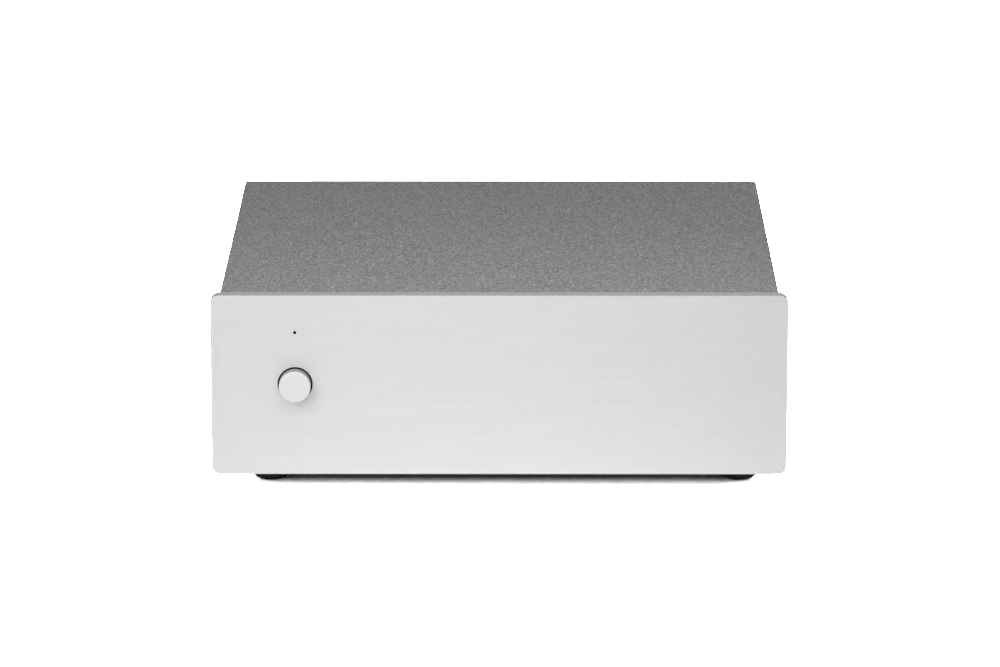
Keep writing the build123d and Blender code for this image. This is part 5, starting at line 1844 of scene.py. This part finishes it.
# %% [markdown]
# ## Lights, floor and background
# The look is a white sweep: a big soft key light from the upper left, a small one close above the
# front of the box, a large one far out on either side for the bends of the cover, and even light
# from all around. Only the shadow under the box tells where the floor is. The floor is drawn
# brighter for the camera than for the light that it throws back, so the page turns white without
# one more lamp on the object. That gain is set by place on the floor, as painted shade and light: it
# drops a finger's width inside the outline of the box, which darkens the shadow there and gives it a
# set edge, and beside the feet it is so high that the shadow is painted out. Mirrors see plain
# paint, which is a little lighter near the box, a painted pool of light that lifts the lower edge of
# the panel.

# %% Lights
light_target = Vector((0, -0.04, 0.03))


def soft_box(name, place, side, power):
    """A square lamp that faces the box."""
    lamp = linked(name, bpy.data.lights.new(name, "AREA"))
    lamp.data.shape = "SQUARE"
    lamp.data.size = side
    lamp.data.energy = power
    lamp.location = place
    lamp.rotation_euler = (light_target - lamp.location).to_track_quat("-Z", "Y").to_euler()


soft_box("key_light", (-0.40, -0.62, 0.46), side=0.42, power=3.3)
soft_box("top_light", (0.03, -0.20, 0.26), side=0.30, power=0.5)
for side in (-1, 1):
    soft_box("side_light", (side * 1.2, 0.42, 0.12), side=0.80, power=7.5)

# %% World
ambient_strength = 0.20
world = bpy.data.worlds.new("white_room")
world.use_nodes = True
scene.world = world
tree = world.node_tree
ray = add_node(tree, "ShaderNodeLightPath").outputs
mirrored = add_node(tree, "ShaderNodeMath", {
    0: ray["Is Glossy Ray"], 1: ray["Is Transmission Ray"]}, operation="MAXIMUM")
seen = add_node(tree, "ShaderNodeMath", {0: ray["Is Camera Ray"], 1: mirrored},
                operation="MAXIMUM")
strength = add_node(tree, "ShaderNodeMix", {"Factor": seen, "A": ambient_strength, "B": 1.0},
                    data_type="FLOAT")
set_inputs(tree.nodes["Background"], {"Color": (1, 1, 1, 1), "Strength": strength})

# %% Floor
floor_half = 6.0
page_white = 7.6
page_dim = 0.9
page_clear = 60.0  # beside the feet, where no shadow shows
# Painted pool of light: the paint is lighter near the front of the box, and the panel mirrors it.
paint_near = 0.95
paint_far = 0.55
paint_reach = 0.30
front_shadow = (-21.9 * MM, -16.4 * MM)  # inside the outline of the box: full shadow, none
side_shadow = (-4.5 * MM, 2.9 * MM)  # the same, from the feet's outer faces
floor_mesh = bpy.data.meshes.new("floor")
floor_mesh.from_pydata(
    [(x * floor_half, y * floor_half, 0) for x, y in ((-1, -1), (1, -1), (1, 1), (-1, 1))],
    [], [(0, 1, 2, 3)])
floor = linked("floor", floor_mesh)
floor_paint = bpy.data.materials.new("white_sweep")
floor_paint.use_nodes = True
floor_mesh.materials.append(floor_paint)

# %% Floor paint
tree = floor_paint.node_tree
tree.nodes.remove(tree.nodes["Principled BSDF"])
where = add_node(tree, "ShaderNodeTexCoord").outputs["Object"]
from_box = add_node(tree, "ShaderNodeMapping", {
    "Vector": where, "Location": (0, -panel_low.y, 0), "Scale": (0.4, 1, 1)})
paint = add_node(tree, "ShaderNodeMapRange", {
    "Value": add_node(tree, "ShaderNodeVectorMath", {0: from_box}, operation="LENGTH"),
    "From Min": 0.0, "From Max": paint_reach, "To Min": paint_near, "To Max": paint_far})
shadow_low = Vector((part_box("foot_front_left")[0].x, cad_low.y, 0))
shadow_high = Vector((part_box("foot_front_right")[1].x, cad_high.y, 0))
from_middle = add_node(tree, "ShaderNodeVectorMath", {
    0: where, 1: tuple((shadow_low + shadow_high) / 2)}, operation="SUBTRACT")
past_outline = add_node(tree, "ShaderNodeVectorMath", {
    0: add_node(tree, "ShaderNodeVectorMath", {0: from_middle}, operation="ABSOLUTE"),
    1: tuple((shadow_high - shadow_low) / 2)}, operation="SUBTRACT")
sides = add_node(tree, "ShaderNodeSeparateXYZ", {"Vector": past_outline}).outputs
# Painted shadow: under the box the camera's gain drops, which darkens the real shadow to a set edge.
in_front = add_node(tree, "ShaderNodeMapRange", {
    "Value": sides["Y"], "From Min": front_shadow[0], "From Max": front_shadow[1],
    "To Min": page_dim, "To Max": page_white})
# Painted light: beside the feet the gain is so high that it wipes out the shadow.
beside = add_node(tree, "ShaderNodeMapRange", {
    "Value": sides["X"], "From Min": side_shadow[0], "From Max": side_shadow[1],
    "To Min": page_dim, "To Max": page_clear})
page = add_node(tree, "ShaderNodeMath", {0: in_front, 1: beside}, operation="MAXIMUM")
brightness = add_node(tree, "ShaderNodeMix", {
    "Factor": add_node(tree, "ShaderNodeLightPath").outputs["Is Camera Ray"], "A": paint,
    "B": page}, data_type="FLOAT")
sweep = add_node(tree, "ShaderNodeBsdfDiffuse", {"Color": brightness})
set_inputs(tree.nodes["Material Output"], {"Surface": sweep})
